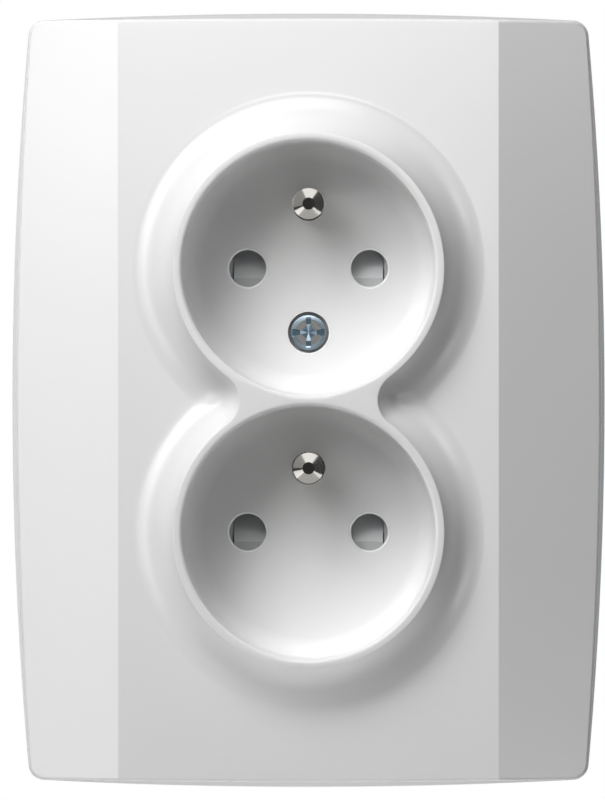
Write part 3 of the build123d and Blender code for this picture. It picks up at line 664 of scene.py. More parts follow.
@dataclass
class FrontCover:
    """White moulding with a bowed outline, a figure-of-eight collar and two wells. Sizes in millimetres."""

    half_width: float = 46.3
    half_height: float = 60.45
    corner_x: float = 43.6
    corner_z: float = 59.25
    corner_radius: float = 2.5
    side_draft: float = 1.13
    end_draft: float = 1.05
    corner_draft: float = 0.25
    wall: float = 2.0
    front_edge: float = 0.5
    crease_x: float = 29.6
    crease_round: float = 0.1
    flank_slope: float = 0.45
    rim_height: float = 22.0
    well_z: float = 20.57
    well_radius: float = 19.7
    well_wall: float = 1.8
    well_draft: float = 1.0
    floor_height: float = 7.0
    floor_back: float = 5.2
    floor_round: float = 3.0
    lip: float = 0.65
    rim_radius: float = 21.1
    rim_round: float = 0.2
    collar_radius: float = 27.6
    foot_radius: float = 3.4
    foot_slope: float = 20.0
    rim_slope: float = 67.0
    waist_radius: float = 4.5
    saddle_reach: float = 4.2
    saddle_round: float = 1.6
    saddle_steps: int = 16
    pin_x: float = 9.5
    pin_hole: float = 2.85
    pin_round: float = 0.42
    earth_offset: float = 10.0
    earth_hole: float = 2.55
    hole_round: float = 0.12
    screw_z: float = 10.57
    screw_recess: float = 3.2
    screw_hole: float = 1.65
    screw_seat: float = 4.8
    boss_radius: float = 4.5
    boss_back: float = 2.2
    rib_back: float = 6.5
    rib_thickness: float = 1.2
    hole_edge_facing: tuple[float, float] = (0.05, 0.99)
    edge_angle: float = 40.0
    crease_angle: float = 20.0
    crease_reach: float = 0.05
    ring_steps: int = 96
    foot_steps: int = 6
    waist_steps: int = 4
    flare_steps: int = 20
    rim_steps: int = 6
    lip_steps: int = 8
    floor_steps: int = 12
    hole_steps: int = 72
    pin_round_steps: int = 6
    hole_round_steps: int = 4
    bow_steps: int = 22
    corner_steps: int = 8
    edge_steps: int = 5
    crease_steps: int = 2

    def __post_init__(self) -> None:
        """Works out the arcs of the collar."""
        foot, rim = math.radians(self.foot_slope), math.radians(self.rim_slope)
        self.foot_inner = self.collar_radius - self.foot_radius * math.sin(foot)
        self.flare = (self.foot_inner - self.rim_radius) / (math.sin(rim) - math.sin(foot))
        foot_rise = self.foot_radius * (1 - math.cos(foot))
        flare_rise = self.flare * (math.cos(foot) - math.cos(rim))
        self.plate_height = self.rim_height - foot_rise - flare_rise
        self.flare_x = self.rim_radius + self.flare * math.sin(rim)
        self.flare_height = self.rim_height + self.flare * math.cos(rim)
        self.waist_x = math.sqrt((self.rim_radius + self.waist_radius) ** 2 - self.well_z**2)

    def build(self) -> bpy.types.Object:
        """Models the cover.

        Returns:
            The cover's object.
        """
        clay = Clay()
        self._collar_quarter(clay)
        self._cup_quarter(clay)
        clay.weld()
        clay.cut(clay.everything(), Vector(), Vector((0, 0, -1)))
        clay.mirror("X")
        clay.mirror("Z")
        self._ease_saddle(clay)
        clay.fill(clay.rim(self.rim_height))
        self._holes(clay)
        clay.weld()
        for side in (-1, 1):
            clay.fill(clay.rim(self.floor_height, lambda middle: middle.z * side > 0))
        clay.fill(clay.rim(self.floor_back))
        self._tray(clay, self.wall, 0.0)
        clay.fill(clay.rim(self.plate_height - self.wall))
        self._tray(clay, 0.0, self.front_edge)
        clay.fill(clay.rim(self.plate_height))
        clay.fill(clay.rim(0.0))
        self._ribs(clay)
        return clay.finish("front_cover_moulding")

    def dress(self) -> None:
        """Builds the cover and gives it its finishes."""
        piece = dress_piece(self.build(), Palette.COVER, OUTLET_BODY, "front_cover")
        # the wells get a lighter paint, as painted light, and their own matt gloss
        paint_zone(piece, Palette.WELL_PAINTED_LIGHT, self.in_well)
        # the rounds of the pin holes get a whiter paint, as a painted highlight
        paint_zone(piece, Palette.HOLE_EDGE_PAINTED_HIGHLIGHT, self.on_hole_edge_painted_highlight)

    def in_well(self, middle: Vector, normal: Vector) -> bool:
        """Tells whether a face lies in a well, below its lip, where the plastic is painted lighter as
        painted light.
        """
        radius = math.hypot(middle.x, abs(middle.z) - self.well_z)
        return radius < self.well_radius + self.lip / 2 and -middle.y > self.floor_height - WELD_MM

    def on_hole_edge_painted_highlight(self, middle: Vector, normal: Vector) -> bool:
        """Tells whether a face lies on the round of a pin hole's front edge, which is painted whiter as a
        painted highlight.
        """
        facing = self.hole_edge_facing[0] < -normal.y < self.hole_edge_facing[1]
        return facing and self.floor_height - self.pin_round < -middle.y < self.floor_height

    def _collar_quarter(self, clay: Clay) -> None:
        """Models a quarter of the collar, rim, lip and well wall, with half of one waist.

        Args:
            clay: The empty mesh to model in.
        """
        rounding = self.rim_round
        reach = self.flare + rounding
        level = self.rim_height - rounding
        round_x = self.flare_x - math.sqrt(reach**2 - (self.flare_height - level) ** 2)
        rim_slope = math.degrees(math.asin((self.flare_x - round_x) / reach))
        waist_sine = (self.flare_x - self.rim_radius - self.waist_radius) / self.flare
        waist_slope = math.degrees(math.asin(waist_sine))
        draft = math.radians(self.well_draft)
        corner = self.well_radius - (self.rim_height - self.lip - self.floor_height) * math.tan(draft)
        round_r = corner + self.floor_round * (math.tan(draft) - 1 / math.cos(draft))
        round_h = self.floor_height + self.floor_round
        lip_r = self.well_radius + self.lip
        profile = Profile(clay, 0, self.well_z, self.collar_radius, self.plate_height)
        foot_h = self.plate_height + self.foot_radius
        profile.arc(self.collar_radius, foot_h, -self.foot_slope, self.foot_steps)
        profile.arc(self.flare_x, self.flare_height, self.foot_slope - waist_slope, self.waist_steps)
        profile.arc(self.flare_x, self.flare_height, waist_slope - rim_slope, self.flare_steps)
        profile.arc(round_x, level, rim_slope, self.rim_steps)
        profile.line(lip_r, self.rim_height)
        profile.arc(lip_r, self.rim_height - self.lip, 90, self.lip_steps)
        wall_r = round_r + self.floor_round * math.cos(draft)
        profile.line(wall_r, round_h - self.floor_round * math.sin(draft))
        profile.arc(round_r, round_h, self.well_draft - 90, self.floor_steps)
        centre = clay.point(0, 0, self.well_z)
        waist = clay.point(self.waist_x, 0, 0)
        below = math.degrees(math.atan2(self.well_z, self.waist_x))
        start = Matrix.Rotation(math.radians(below), 3, "Y")
        bmesh.ops.rotate(clay.bm, verts=clay.bm.verts[:], cent=centre, matrix=start)
        section = clay.bm.edges[:]

        def between(low: float, high: float) -> list[bmesh.types.BMEdge]:
            """Picks edges of the section.

            Args:
                low: Least radius.
                high: Greatest radius.

            Returns:
                The edges between the two radii.
            """
            low, high = low - WELD_MM, high + WELD_MM
            radii = ((edge, [(vert.co.xz - centre.xz).length for vert in edge.verts]) for edge in section)
            return [edge for edge, ends in radii if min(ends) > low and max(ends) < high]

        # the whole section goes round the outside, its inside on to the middle and its flare round the waist
        flare = between(round_x, self.rim_radius + self.waist_radius)
        inside = between(0, lip_r)
        clay.spin(section, centre, OUT_OF_WALL, 90 + below, self.ring_steps)
        clay.spin(inside, centre, -OUT_OF_WALL, 90 - below, self.ring_steps // 4)
        clay.spin(flare, waist, OUT_OF_WALL, below, self.ring_steps // 2)

    def _flare_height(self, radius: float) -> float:
        """Works out the height of a ring outside its rim.

        Args:
            radius: Distance from the well's axis.

        Returns:
            The height of the flare or of the foot.
        """
        if radius > self.foot_inner:
            inward = max(self.collar_radius - radius, 0.0)
            return self.plate_height + self.foot_radius - math.sqrt(self.foot_radius**2 - inward**2)
        return self.flare_height - math.sqrt(self.flare**2 - (self.flare_x - radius) ** 2)

    def _saddle_height(self, x: float, z: float) -> float:
        """Works out the height of the collar over a point near a waist.

        Args:
            x: The point's distance from the middle, positive on the waist's side.
            z: The point's height above the middle.

        Returns:
            The height of the waist's arc between the rings, and of the nearer ring elsewhere.
        """
        across, up = x - self.waist_x, abs(z)
        # the waist's arc holds between the lines from its centre to the axes of the two wells
        if up * self.waist_x < -across * self.well_z:
            radius = self.rim_radius + self.waist_radius - math.hypot(across, up)
        else:
            radius = math.hypot(x, self.well_z - up)
        return self._flare_height(max(radius, self.rim_radius))

    def _ease_saddle(self, clay: Clay) -> None:
        """Rounds the valley beside each waist, by the mean height around each point of the collar there.

        Args:
            clay: The whole collar.
        """
        turns = [math.tau * step / self.saddle_steps for step in range(self.saddle_steps)]
        for vert in clay.bm.verts:
            x, z = abs(vert.co.x), vert.co.z
            fade = 1 - math.hypot(x - self.waist_x, z) / self.saddle_reach
            raised = -vert.co.y > self.plate_height + WELD_MM
            if fade > 0 and raised and math.hypot(x, abs(z) - self.well_z) > self.rim_radius:
                reach = self.saddle_round * fade
                around = [(x + reach * math.cos(turn), z + reach * math.sin(turn)) for turn in turns]
                vert.co.y = -sum(self._saddle_height(*place) for place in around) / len(around)

    def _cup_quarter(self, clay: Clay) -> None:
        """Models a quarter of the outer wall of the wells, behind the plate.

        Args:
            clay: The mesh to model in.
        """
        radius = self.well_radius + self.well_wall
        below = math.asin(self.well_z / radius)
        x = radius * math.cos(below)
        front = clay.vert(x, self.plate_height - self.wall, 0)
        back = clay.vert(x, self.floor_back, 0)
        edge = clay.bm.edges.new((front, back))
        centre = clay.point(0, 0, self.well_z)
        clay.spin([front, back, edge], centre, OUT_OF_WALL, 90 + math.degrees(below), self.ring_steps)

    def _holes(self, clay: Clay) -> None:
        """Models the walls of the pin holes, the earth holes and the screw recess with its boss.

        Args:
            clay: The mesh to model in.
        """
        front, back, small = self.floor_height, self.floor_back, self.hole_round
        for z in (self.well_z, -self.well_z):
            for x in (-self.pin_x, self.pin_x):
                outer = self.pin_hole + self.pin_round
                hole = Profile(clay, x, z, outer, front)
                hole.arc(outer, front - self.pin_round, 90, self.pin_round_steps).line(self.pin_hole, back)
                hole.turn(self.hole_steps)
            outer = self.earth_hole + small
            earth = Profile(clay, 0, z + self.earth_offset, outer, front)
            earth.arc(outer, front - small, 90, self.hole_round_steps).line(self.earth_hole, back)
            earth.turn(self.hole_steps)
        outer = self.screw_recess + small
        screw = Profile(clay, 0, self.screw_z, outer, front)
        screw.arc(outer, front - small, 90, self.hole_round_steps).line(self.screw_recess, self.screw_seat)
        screw.line(self.screw_hole, self.screw_seat).line(self.screw_hole, self.boss_back)
        screw.line(self.boss_radius, self.boss_back).line(self.boss_radius, back)
        screw.turn(self.hole_steps)

    def _outline(self, clay: Clay, inset: float, draft: bool, height: float) -> list[bmesh.types.BMEdge]:
        """Draws the bowed outline with its rounded corners.

        Args:
            clay: The mesh to draw in.
            inset: Distance from the cover's outer outline.
            draft: Whether the outline is the one at the front, drawn in by the draft.
            height: Height of the outline.

        Returns:
            The edges of the outline.
        """
        before = set(clay.bm.edges)
        share = 1.0 if draft else 0.0
        width = self.half_width - inset - share * self.side_draft
        tall = self.half_height - inset - share * self.end_draft
        x = self.corner_x - inset - share * self.corner_draft
        z = self.corner_z - inset - share * self.corner_draft
        # four bows from corner to corner, each a spin about its own centre
        tip = first = clay.vert(x, height, -z)
        corners = [first]
        angle = 0.0
        for bulge, half_chord, across in ((width - x, z, (1, 0)), (tall - z, x, (0, 1))) * 2:
            radius = (half_chord**2 + bulge**2) / (2 * bulge)
            half_angle = math.degrees(math.asin(half_chord / radius))
            middle = radius - bulge
            offset = (width - bulge if across[0] else tall - bulge) - middle
            sign = 1 if len(corners) < 3 else -1
            centre = clay.point(sign * across[0] * offset, height, sign * across[1] * offset)
            last = clay.spin([tip], centre, OUT_OF_WALL, 2 * half_angle, self.bow_steps)
            tip = only(last, bmesh.types.BMVert)[0]
            corners.append(tip)
            angle += half_angle
        bmesh.ops.weld_verts(clay.bm, targetmap={corners[-1]: first})
        opening = math.radians(90 + angle / 2)
        clay.bevel(corners[:-1], self.corner_radius / math.tan(opening / 2), self.corner_steps, True)
        return [edge for edge in clay.bm.edges if edge not in before]

    def _tray(self, clay: Clay, inset: float, edge_round: float) -> None:
        """Models the drafted sides and the flanks, and leaves the back and the middle of the front open.

        Args:
            clay: The mesh to model in.
            inset: Distance from the outer faces, 0 for the outside and the wall for the inside.
            edge_round: Radius of the front edges, or 0 for sharp ones.
        """
        top = self.plate_height - inset
        tray = Clay()
        back = self._outline(tray, inset, False, 0.0)
        front = self._outline(tray, inset, True, top)
        tray.bridge([*back, *front])
        bmesh.ops.contextual_create(tray.bm, geom=front)
        for side in (-1, 1):
            slope = Vector((side * self.flank_slope, -1, 0)).normalized()
            edges = tray.cut(tray.everything(), tray.point(side * self.crease_x, top, 0), slope)
            bmesh.ops.contextual_create(tray.bm, geom=edges)
        bmesh.ops.recalc_face_normals(tray.bm, faces=tray.bm.faces[:])
        if edge_round:
            self._round_front(tray, edge_round)
        middle = min(tray.bm.faces, key=lambda face: (face.normal - OUT_OF_WALL).length)
        bmesh.ops.delete(tray.bm, geom=[middle], context="FACES_ONLY")
        made = bpy.data.meshes.new("tray")
        tray.bm.to_mesh(made)
        tray.bm.free()
        clay.bm.from_mesh(made)
        bpy.data.meshes.remove(made)

    def _round_front(self, tray: Clay, radius: float) -> None:
        """Rounds the front edges of the tray, and the creases a little.

        Args:
            tray: The tray to round.
            radius: Radius of the edges between the front and the sides.
        """

        def angle(edge: bmesh.types.BMEdge) -> float:
            """Gives the angle between an edge's faces, in degrees, and 0 at an open edge."""
            return math.degrees(edge.calc_face_angle()) if len(edge.link_faces) == 2 else 0.0

        def on_crease(edge: bmesh.types.BMEdge) -> bool:
            """Tells whether an edge lies along a border of the flanks."""
            return all(abs(abs(vert.co.x) - self.crease_x) < self.crease_reach for vert in edge.verts)

        edges = [edge for edge in tray.bm.edges if angle(edge) > self.edge_angle]
        tray.bevel(edges, radius, self.edge_steps)
        creases = [edge for edge in tray.bm.edges if angle(edge) > self.crease_angle and on_crease(edge)]
        tray.bevel(creases, self.crease_round, self.crease_steps)

    def _ribs(self, clay: Clay) -> None:
        """Models the ribs between the wells and the sides, each a closed block sunk into the walls.

        Args:
            clay: The mesh to model in.
        """
        inner = self.well_radius + self.well_wall / 2
        sunk = self.plate_height - self.wall / 2
        half = self.rib_thickness / 2
        for sign in (-1, 1):
            for z in (self.well_z, -self.well_z):
                outer = self.half_width - self.wall / 2 - self.side_draft / 2
                rib = clay.block((sign * inner, sign * outer), (self.rib_back, sunk), (z - half, z + half))
                slope = Vector((sign * self.flank_slope, -1, 0)).normalized()
                edges = clay.cut(rib, clay.point(sign * self.crease_x, sunk, 0), slope)
                bmesh.ops.contextual_create(clay.bm, geom=edges)
            start = sign * (self.well_z + inner)
            end = sign * (self.half_height - self.wall / 2 - self.end_draft / 2)
            clay.block((-half, half), (self.rib_back, sunk), (start, end))


@dataclass
class EarthPin:
    """Turned earth pin with a riveted shank, a collar and a conical end. Sizes in millimetres."""

    name: str
    z: float
    shank: float = 1.6
    back: float = 1.0
    collar: float = 3.4
    collar_back: float = 2.0
    collar_front: float = 3.0
    neck: float = 2.1
    neck_front: float = 7.1
    radius: float = 2.4
    tip_radius: float = 0.95
    tip: float = 21.0
    cone: float = 1.05
    steps: int = 96

    def build(self) -> bpy.types.Object:
        """Models the pin.

        Returns:
            The pin's object.
        """
        clay = Clay()
        profile = Profile(clay, 0, self.z, 0, self.back)
        profile.line(self.shank, self.back).line(self.shank, self.collar_back)
        profile.line(self.collar, self.collar_back).line(self.collar, self.collar_front)
        profile.line(self.neck, self.collar_front).line(self.neck, self.neck_front)
        profile.line(self.radius, self.neck_front).line(self.radius, self.tip - self.cone)
        profile.line(self.tip_radius, self.tip).line(0, self.tip)
        profile.turn(self.steps)
        clay.weld()
        return clay.finish(f"{self.name}_turned")

    def dress(self) -> None:
        """Builds the pin and gives it its finishes."""
        piece = dress_piece(self.build(), Palette.NICKEL, OUTLET_BODY, self.name)
        paint_zone(piece, Palette.PIN_TIP, self.on_tip)

    def on_tip(self, middle: Vector, normal: Vector) -> bool:
        """Tells whether a face lies on the flat end."""
        return -middle.y > self.tip - WELD_MM


@dataclass
class CoverScrew:
    """Screw whose head has a raised middle, a cross recess and a slot. Sizes in millimetres."""

    z: float
    tip: float
    seat: float = 4.8
    top: float = 6.8
    shank: float = 1.45
    point: float = 0.4
    head: float = 2.75
    head_round: float = 0.12
    pad: float = 2.08
    pad_rise: float = 0.14
    pad_chamfer: float = 0.1
    shoulder_drop: float = 0.03
    slot_width: float = 1.05
    slot_reach: float = 2.57
    slot_depth: float = 0.4
    wing_half: float = 0.4
    tall_wing: float = 2.14
    wide_wing: float = 1.84
    flute: float = 0.9
    recess_depth: float = 0.5
    recess_middle: float = 1.35
    edge: float = 0.06
    edge_angle: float = 40.0
    smooth_angle: float = 25.0
    floor_facing: float = 0.95
    steps: int = 96
    round_steps: int = 4
    flute_steps: int = 8

    def build(self) -> bpy.types.Object:
        """Models the screw.

        Returns:
            The screw's object.
        """
        clay = Clay()
        shoulder = self.top - self.pad_rise
        low = shoulder - self.shoulder_drop
        turned = Profile(clay, 0, self.z, 0, self.tip)
        turned.line(self.shank - self.point, self.tip).line(self.shank, self.tip + self.point)
        turned.line(self.shank, self.seat).line(self.head, self.seat).line(self.head, low - self.head_round)
        turned.arc(self.head - self.head_round, low - self.head_round, 90, self.round_steps)
        turned.line(self.pad, shoulder).line(self.pad, self.top - self.pad_chamfer)
        turned.line(self.pad - self.pad_chamfer, self.top).line(0, self.top)
        turned.turn(self.steps)
        clay.weld()
        clay.carve(self._slot(shoulder))
        clay.carve(self._cross())
        clay.soften(self.edge, self.edge_angle)
        return clay.finish("cover_screw_turned", self.smooth_angle)

    def dress(self) -> None:
        """Builds the screw and gives it its finishes."""
        piece = dress_piece(self.build(), Palette.SCREW, OUTLET_BODY, "cover_screw")
        paint_zone(piece, Palette.SCREW_PAD, self.on_pad, True)
        # the floors of the slot and the wings get a dark paint, as painted shade
        paint_zone(piece, Palette.SCREW_SLOT_PAINTED_SHADE, self.in_slot_painted_shade, True)

    def on_pad(self, middle: Vector, normal: Vector) -> bool:
        """Tells whether a face lies on the raised middle of the head."""
        return -middle.y > self.top - WELD_MM

    def in_slot_painted_shade(self, middle: Vector, normal: Vector) -> bool:
        """Tells whether a face lies on the flat floor of the slot or a wing, which is painted dark as
        painted shade.

        Args:
            middle: The face's middle.
            normal: The face's normal.

        Returns:
            Whether it does.
        """
        inside = math.hypot(middle.x, middle.z - self.z) < self.slot_reach
        sunk = self.seat < -middle.y < self.top - self.pad_rise - self.slot_depth / 2
        return inside and sunk and -normal.y > self.floor_facing

    def _slot(self, shoulder: float) -> Clay:
        """Shapes what the two ends of the slot take away.

        Args:
            shoulder: Height of the foot of the raised middle.

        Returns:
            The shape to cut with.
        """
        clay = Clay()
        floor = shoulder - self.slot_depth
        half = self.slot_width / 2
        for side in (-1, 1):
            reach = (side * self.wide_wing, side * self.slot_reach)
            clay.block(reach, (floor, 2 * self.top - floor), (self.z - half, self.z + half))
        return clay

    def _cross(self) -> Clay:
        """Shapes what the cross recess takes away: four wings with fluted corners and a pointed floor.

        Returns:
            The shape to cut with.
        """
        clay = Clay()
        height = self.top + self.recess_depth
        half, corner = self.wing_half, self.wing_half + self.flute
        outline = [clay.vert(0, height, self.tall_wing), clay.vert(half, height, self.tall_wing)]
        outline.append(clay.vert(half, height, corner))
        for pair in zip(outline, outline[1:]):
            clay.bm.edges.new(pair)
        bend = clay.point(corner, height, corner)
        last = clay.spin([outline[-1]], bend, OUT_OF_WALL, 90, self.flute_steps)
        tip = only(last, bmesh.types.BMVert)[0]
        for x, z in ((self.wide_wing, half), (self.wide_wing, 0.0)):
            end = clay.vert(x, height, z)
            clay.bm.edges.new((tip, end))
            tip = end
        clay.mirror("X")
        clay.mirror("Z")
        clay.weld()
        face = bmesh.ops.contextual_create(clay.bm, geom=clay.bm.edges[:])["faces"]
        pushed = bmesh.ops.extrude_face_region(clay.bm, geom=face, use_keep_orig=True)["geom"]
        moved = only(pushed, bmesh.types.BMVert)
        down = clay.point(0, -2 * self.recess_depth, 0)
        bmesh.ops.translate(clay.bm, vec=down, verts=moved)
        # a line across the foot of each wing leaves a star in the middle of the floor, drawn down to a point
        for axis, end in ((2, corner), (2, -corner), (0, corner), (0, -corner)):
            level = [vert for vert in moved if abs(vert.co[axis] - end) < WELD_MM]
            pair = [vert for vert in level if WELD_MM < abs(vert.co[2 - axis]) < corner]
            bmesh.ops.connect_verts(clay.bm, verts=pair)
        floor = [face for face in clay.bm.faces if all(vert in moved for vert in face.verts)]
        star = min(floor, key=lambda face: face.calc_center_median().xz.length)
        middle = bmesh.ops.poke(clay.bm, faces=[star])["verts"]
        deeper = clay.point(0, self.recess_depth - self.recess_middle, 0)
        bmesh.ops.translate(clay.bm, vec=deeper, verts=middle)
        bmesh.ops.translate(clay.bm, vec=(0, 0, self.z), verts=clay.bm.verts[:])
        return clay


@dataclass
class ShutterSprings:
    """Pair of coil springs under a shutter, which shorten as it slides down. Sizes in millimetres."""

    shutter: str
    bottom: float
    top: float
    x: float = 9.0
    height: float = 3.55
    radius: float = 0.85
    wire: float = 0.18
    turns: int = 5
    travel: float = 6.2
    smooth_angle: float = 50.0
    steps: int = 28
    wire_steps: int = 10

    def build(self) -> bpy.types.Object:
        """Models both springs.

        Returns:
            The springs' object.
        """
        clay = Clay()
        length = self.top - self.bottom - 2 * self.wire
        for x in (-self.x, self.x):
            place = clay.point(x + self.radius, self.height, self.bottom + self.wire)
            ring = bmesh.ops.create_circle(
                clay.bm,
                segments=self.wire_steps,
                radius=self.wire,
                cap_ends=False,
                matrix=Matrix.Translation(place) @ Matrix.Rotation(math.radians(90), 4, "X"),
            )["verts"]
            edges = list({edge for vert in ring for edge in vert.link_edges})
            bmesh.ops.contextual_create(clay.bm, geom=edges)
            centre, axis = clay.point(x, self.height, 0), Vector((0, 0, 1))
            coil = clay.spin(edges, centre, axis, 360 * self.turns, self.steps * self.turns, rise=length)
            bmesh.ops.contextual_create(clay.bm, geom=only(coil, bmesh.types.BMEdge))
        return clay.finish(f"{self.shutter}_coils", self.smooth_angle)

    def dress(self) -> None:
        """Builds the springs, gives them their finish and gives them a mesh of their own."""
        piece = dress_piece(self.build(), Palette.SPRING, OUTLET_BODY, f"{self.shutter}_springs")
        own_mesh(piece)


@dataclass
class SoftenedSolid:
    """A solid of the frame with its facets merged and its edges eased."""

    node: bpy.types.Object
    easing: float

    def build(self) -> bpy.types.Object:
        """Models the eased copy.

        Returns:
            The copy's object.
        """
        return self._shape().finish(f"{self.node.name}_eased")

    def dress(self, finish: Finish, body: str) -> bpy.types.Object:
        """Builds the copy and gives it its finish.

        Args:
            finish: Its finish.
            body: Body that it moves with.

        Returns:
            The copy's object.
        """
        return dress_piece(self.build(), finish, body, self.node.name)

    def _shape(self) -> Clay:
        """Copies the solid and eases its edges.

        Returns:
            The copy, still to be finished.
        """
        clay = Clay()
        clay.bm.from_mesh(self.node.data)
        clay.bm.transform(Matrix.Scale(1 / MILLIMETRE, 4) @ self.node.matrix_world)
        bmesh.ops.remove_doubles(clay.bm, verts=clay.bm.verts[:], dist=2 * WELD_MM)
        bmesh.ops.dissolve_limit(
            clay.bm,
            angle_limit=math.radians(FACET_DEGREES),
            verts=clay.bm.verts[:],
            edges=clay.bm.edges[:],
            use_dissolve_boundaries=False,
        )
        clay.soften(self.easing)
        return clay


@dataclass
class Shutter(SoftenedSolid):
    """A shutter with eased edges, whose front is painted darker below a line, as painted shade on the lip.
    Sizes in millimetres.
    """

    well_z: float
    lip_drop: float = 1.5

    def dress(self, finish: Finish, body: str) -> bpy.types.Object:
        """Builds the shutter and gives it its finishes.

        Args:
            finish: Its finish above the lip.
            body: Body that it moves with.

        Returns:
            The shutter's object.
        """
        piece = super().dress(finish, body)
        # the lip below the line gets a darker paint, as painted shade
        paint_zone(piece, Palette.SHUTTER_LIP_PAINTED_SHADE, self.on_lip_painted_shade)
        return piece

    def on_lip_painted_shade(self, middle: Vector, normal: Vector) -> bool:
        """Tells whether a face lies on the lip, at the front below the line, which is painted darker as
        painted shade.
        """
        return middle.z < self.well_z - self.lip_drop and normal.y < 0

    def _shape(self) -> Clay:
        """Copies the solid, eases its edges and draws the line where the painted shade begins.

        Returns:
            The copy, still to be finished.
        """
        clay = super()._shape()
        line = Vector((0, 0, self.well_z - self.lip_drop))
        bmesh.ops.bisect_plane(
            clay.bm, geom=clay.everything(), dist=WELD_MM, plane_co=line, plane_no=Vector((0, 0, 1))
        )
        return clay


@dataclass
class BaseHousing(SoftenedSolid):
    """The base with eased edges, and ribs that steady the shutters beside their upper halves."""

    well_z: float
    guide_inner: float = 11.7
    guide_outer: float = 12.1
    guide_back: float = 2.25
    guide_front: float = 4.0
    guide_low: float = -0.3
    guide_high: float = 3.0

    def dress(self, finish: Finish, body: str) -> bpy.types.Object:
        """Builds the base and gives it its finishes.

        Args:
            finish: Its finish behind the shutters.
            body: Body that it moves with.

        Returns:
            The base's object.
        """
        piece = super().dress(finish, body)
        paint_zone(piece, Palette.TRAY, self.on_tray)
        return piece

    def on_tray(self, middle: Vector, normal: Vector) -> bool:
        """Tells whether a face lies in front of the floor of the shutter pockets."""
        return -middle.y > self.guide_back

    def _shape(self) -> Clay:
        """Copies the solid, eases its edges and adds the ribs.

        Returns:
            The copy, still to be finished.
        """
        clay = super()._shape()
        for side in (-1, 1):
            for z in (-self.well_z, self.well_z):
                clay.block(
                    (side * self.guide_inner, side * self.guide_outer),
                    (self.guide_back, self.guide_front),
                    (z + self.guide_low, z + self.guide_high),
                )
        return clay


@dataclass
class SlottedScrews(SoftenedSolid):
    """A pair of screws one above the other, with eased edges and a slot in each head at the back."""

    slot_width: float = 0.9
    slot_depth: float = 0.6
    overrun: float = 0.3

    def _shape(self) -> Clay:
        """Copies the solid, eases its edges and cuts the slots.

        Returns:
            The copy, still to be finished.
        """
        low, high = (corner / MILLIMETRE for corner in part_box(self.node.name))
        radius = (high.x - low.x) / 2
        reach = (low.x - self.overrun, high.x + self.overrun)
        back = -high.y
        tool = Clay()
        for z in (low.z + radius, high.z - radius):
            sides = (z - self.slot_width / 2, z + self.slot_width / 2)
            tool.block(reach, (back - self.overrun, back + self.slot_depth), sides)
        clay = super()._shape()
        clay.carve(tool)
        return clay


@dataclass(frozen=True)
class Softbox:
    """Square lamp that hangs on a sphere about the outlet and faces it. Sizes in metres.

    Attributes:
        name: Its name.
        tilt: Angle from the straight view of the outlet, in degrees.
        clock: Angle round that view, in degrees from the right, upwards.
        distance: Distance from the outlet.
        size: Length of its sides.
        watts: Its power.
        shine: Whether it shows in reflections.
    """

    name: str
    tilt: float
    clock: float
    distance: float
    size: float
    watts: float
    shine: bool = True

    def hang(self) -> None:
        """Hangs the lamp in the scene."""
        tilt, clock = math.radians(self.tilt), math.radians(self.clock)
        aside = math.sin(tilt)
        place = Vector((aside * math.cos(clock), -math.cos(tilt), aside * math.sin(clock))) * self.distance
        data = bpy.data.lights.new(self.name, "AREA")
        data.size = self.size
        data.energy = self.watts
        lamp = bpy.data.objects.new(self.name, data)
        lamp.visible_glossy = self.shine
        lamp.location = place
        lamp.rotation_euler = (-place).to_track_quat("-Z", "Y").to_euler()
        bpy.context.scene.collection.objects.link(lamp)


@dataclass(frozen=True)
class Card:
    """Card that is seen only in reflections. Sizes in metres.

    Attributes:
        name: Its name.
        place: Where its middle hangs.
        aim: The point that it faces.
        size: Width and height.
        glow: How light it is, where 1 is white.
        roll: Turn about the line to that point, in degrees.
    """

    name: str
    place: Point
    aim: Point
    size: tuple[float, float]
    glow: float
    roll: float = 0.0

    def hang(self) -> None:
        """Hangs the card in the scene."""
        towards = Vector(self.aim) - Vector(self.place)
        turn = towards.to_track_quat("Z", "Y").to_matrix().to_4x4()
        turn = turn @ Matrix.Rotation(math.radians(self.roll), 4, "Z")
        spread = Matrix.Diagonal((self.size[0] / 2, self.size[1] / 2, 1.0, 1.0))
        matrix = Matrix.Translation(self.place) @ turn @ spread
        bm = bmesh.new()
        bmesh.ops.create_grid(bm, x_segments=1, y_segments=1, size=1.0, matrix=matrix)
        card = add_object(bm, self.name)
        card.data.materials.append(self._paint())
        card.visible_camera = False
        card.visible_diffuse = False
        card.visible_shadow = False
        card.visible_transmission = False
        card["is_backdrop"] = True

    def _paint(self) -> bpy.types.Material:
        """Makes the card's plain glow.

        Returns:
            The card's material.
        """
        material = bpy.data.materials.new(self.name)
        material.use_nodes = True
        nodes, links = material.node_tree.nodes, material.node_tree.links
        glow = nodes.new("ShaderNodeEmission")
        glow.inputs["Strength"].default_value = self.glow
        links.new(glow.outputs["Emission"], nodes["Material Output"].inputs["Surface"])
        return material


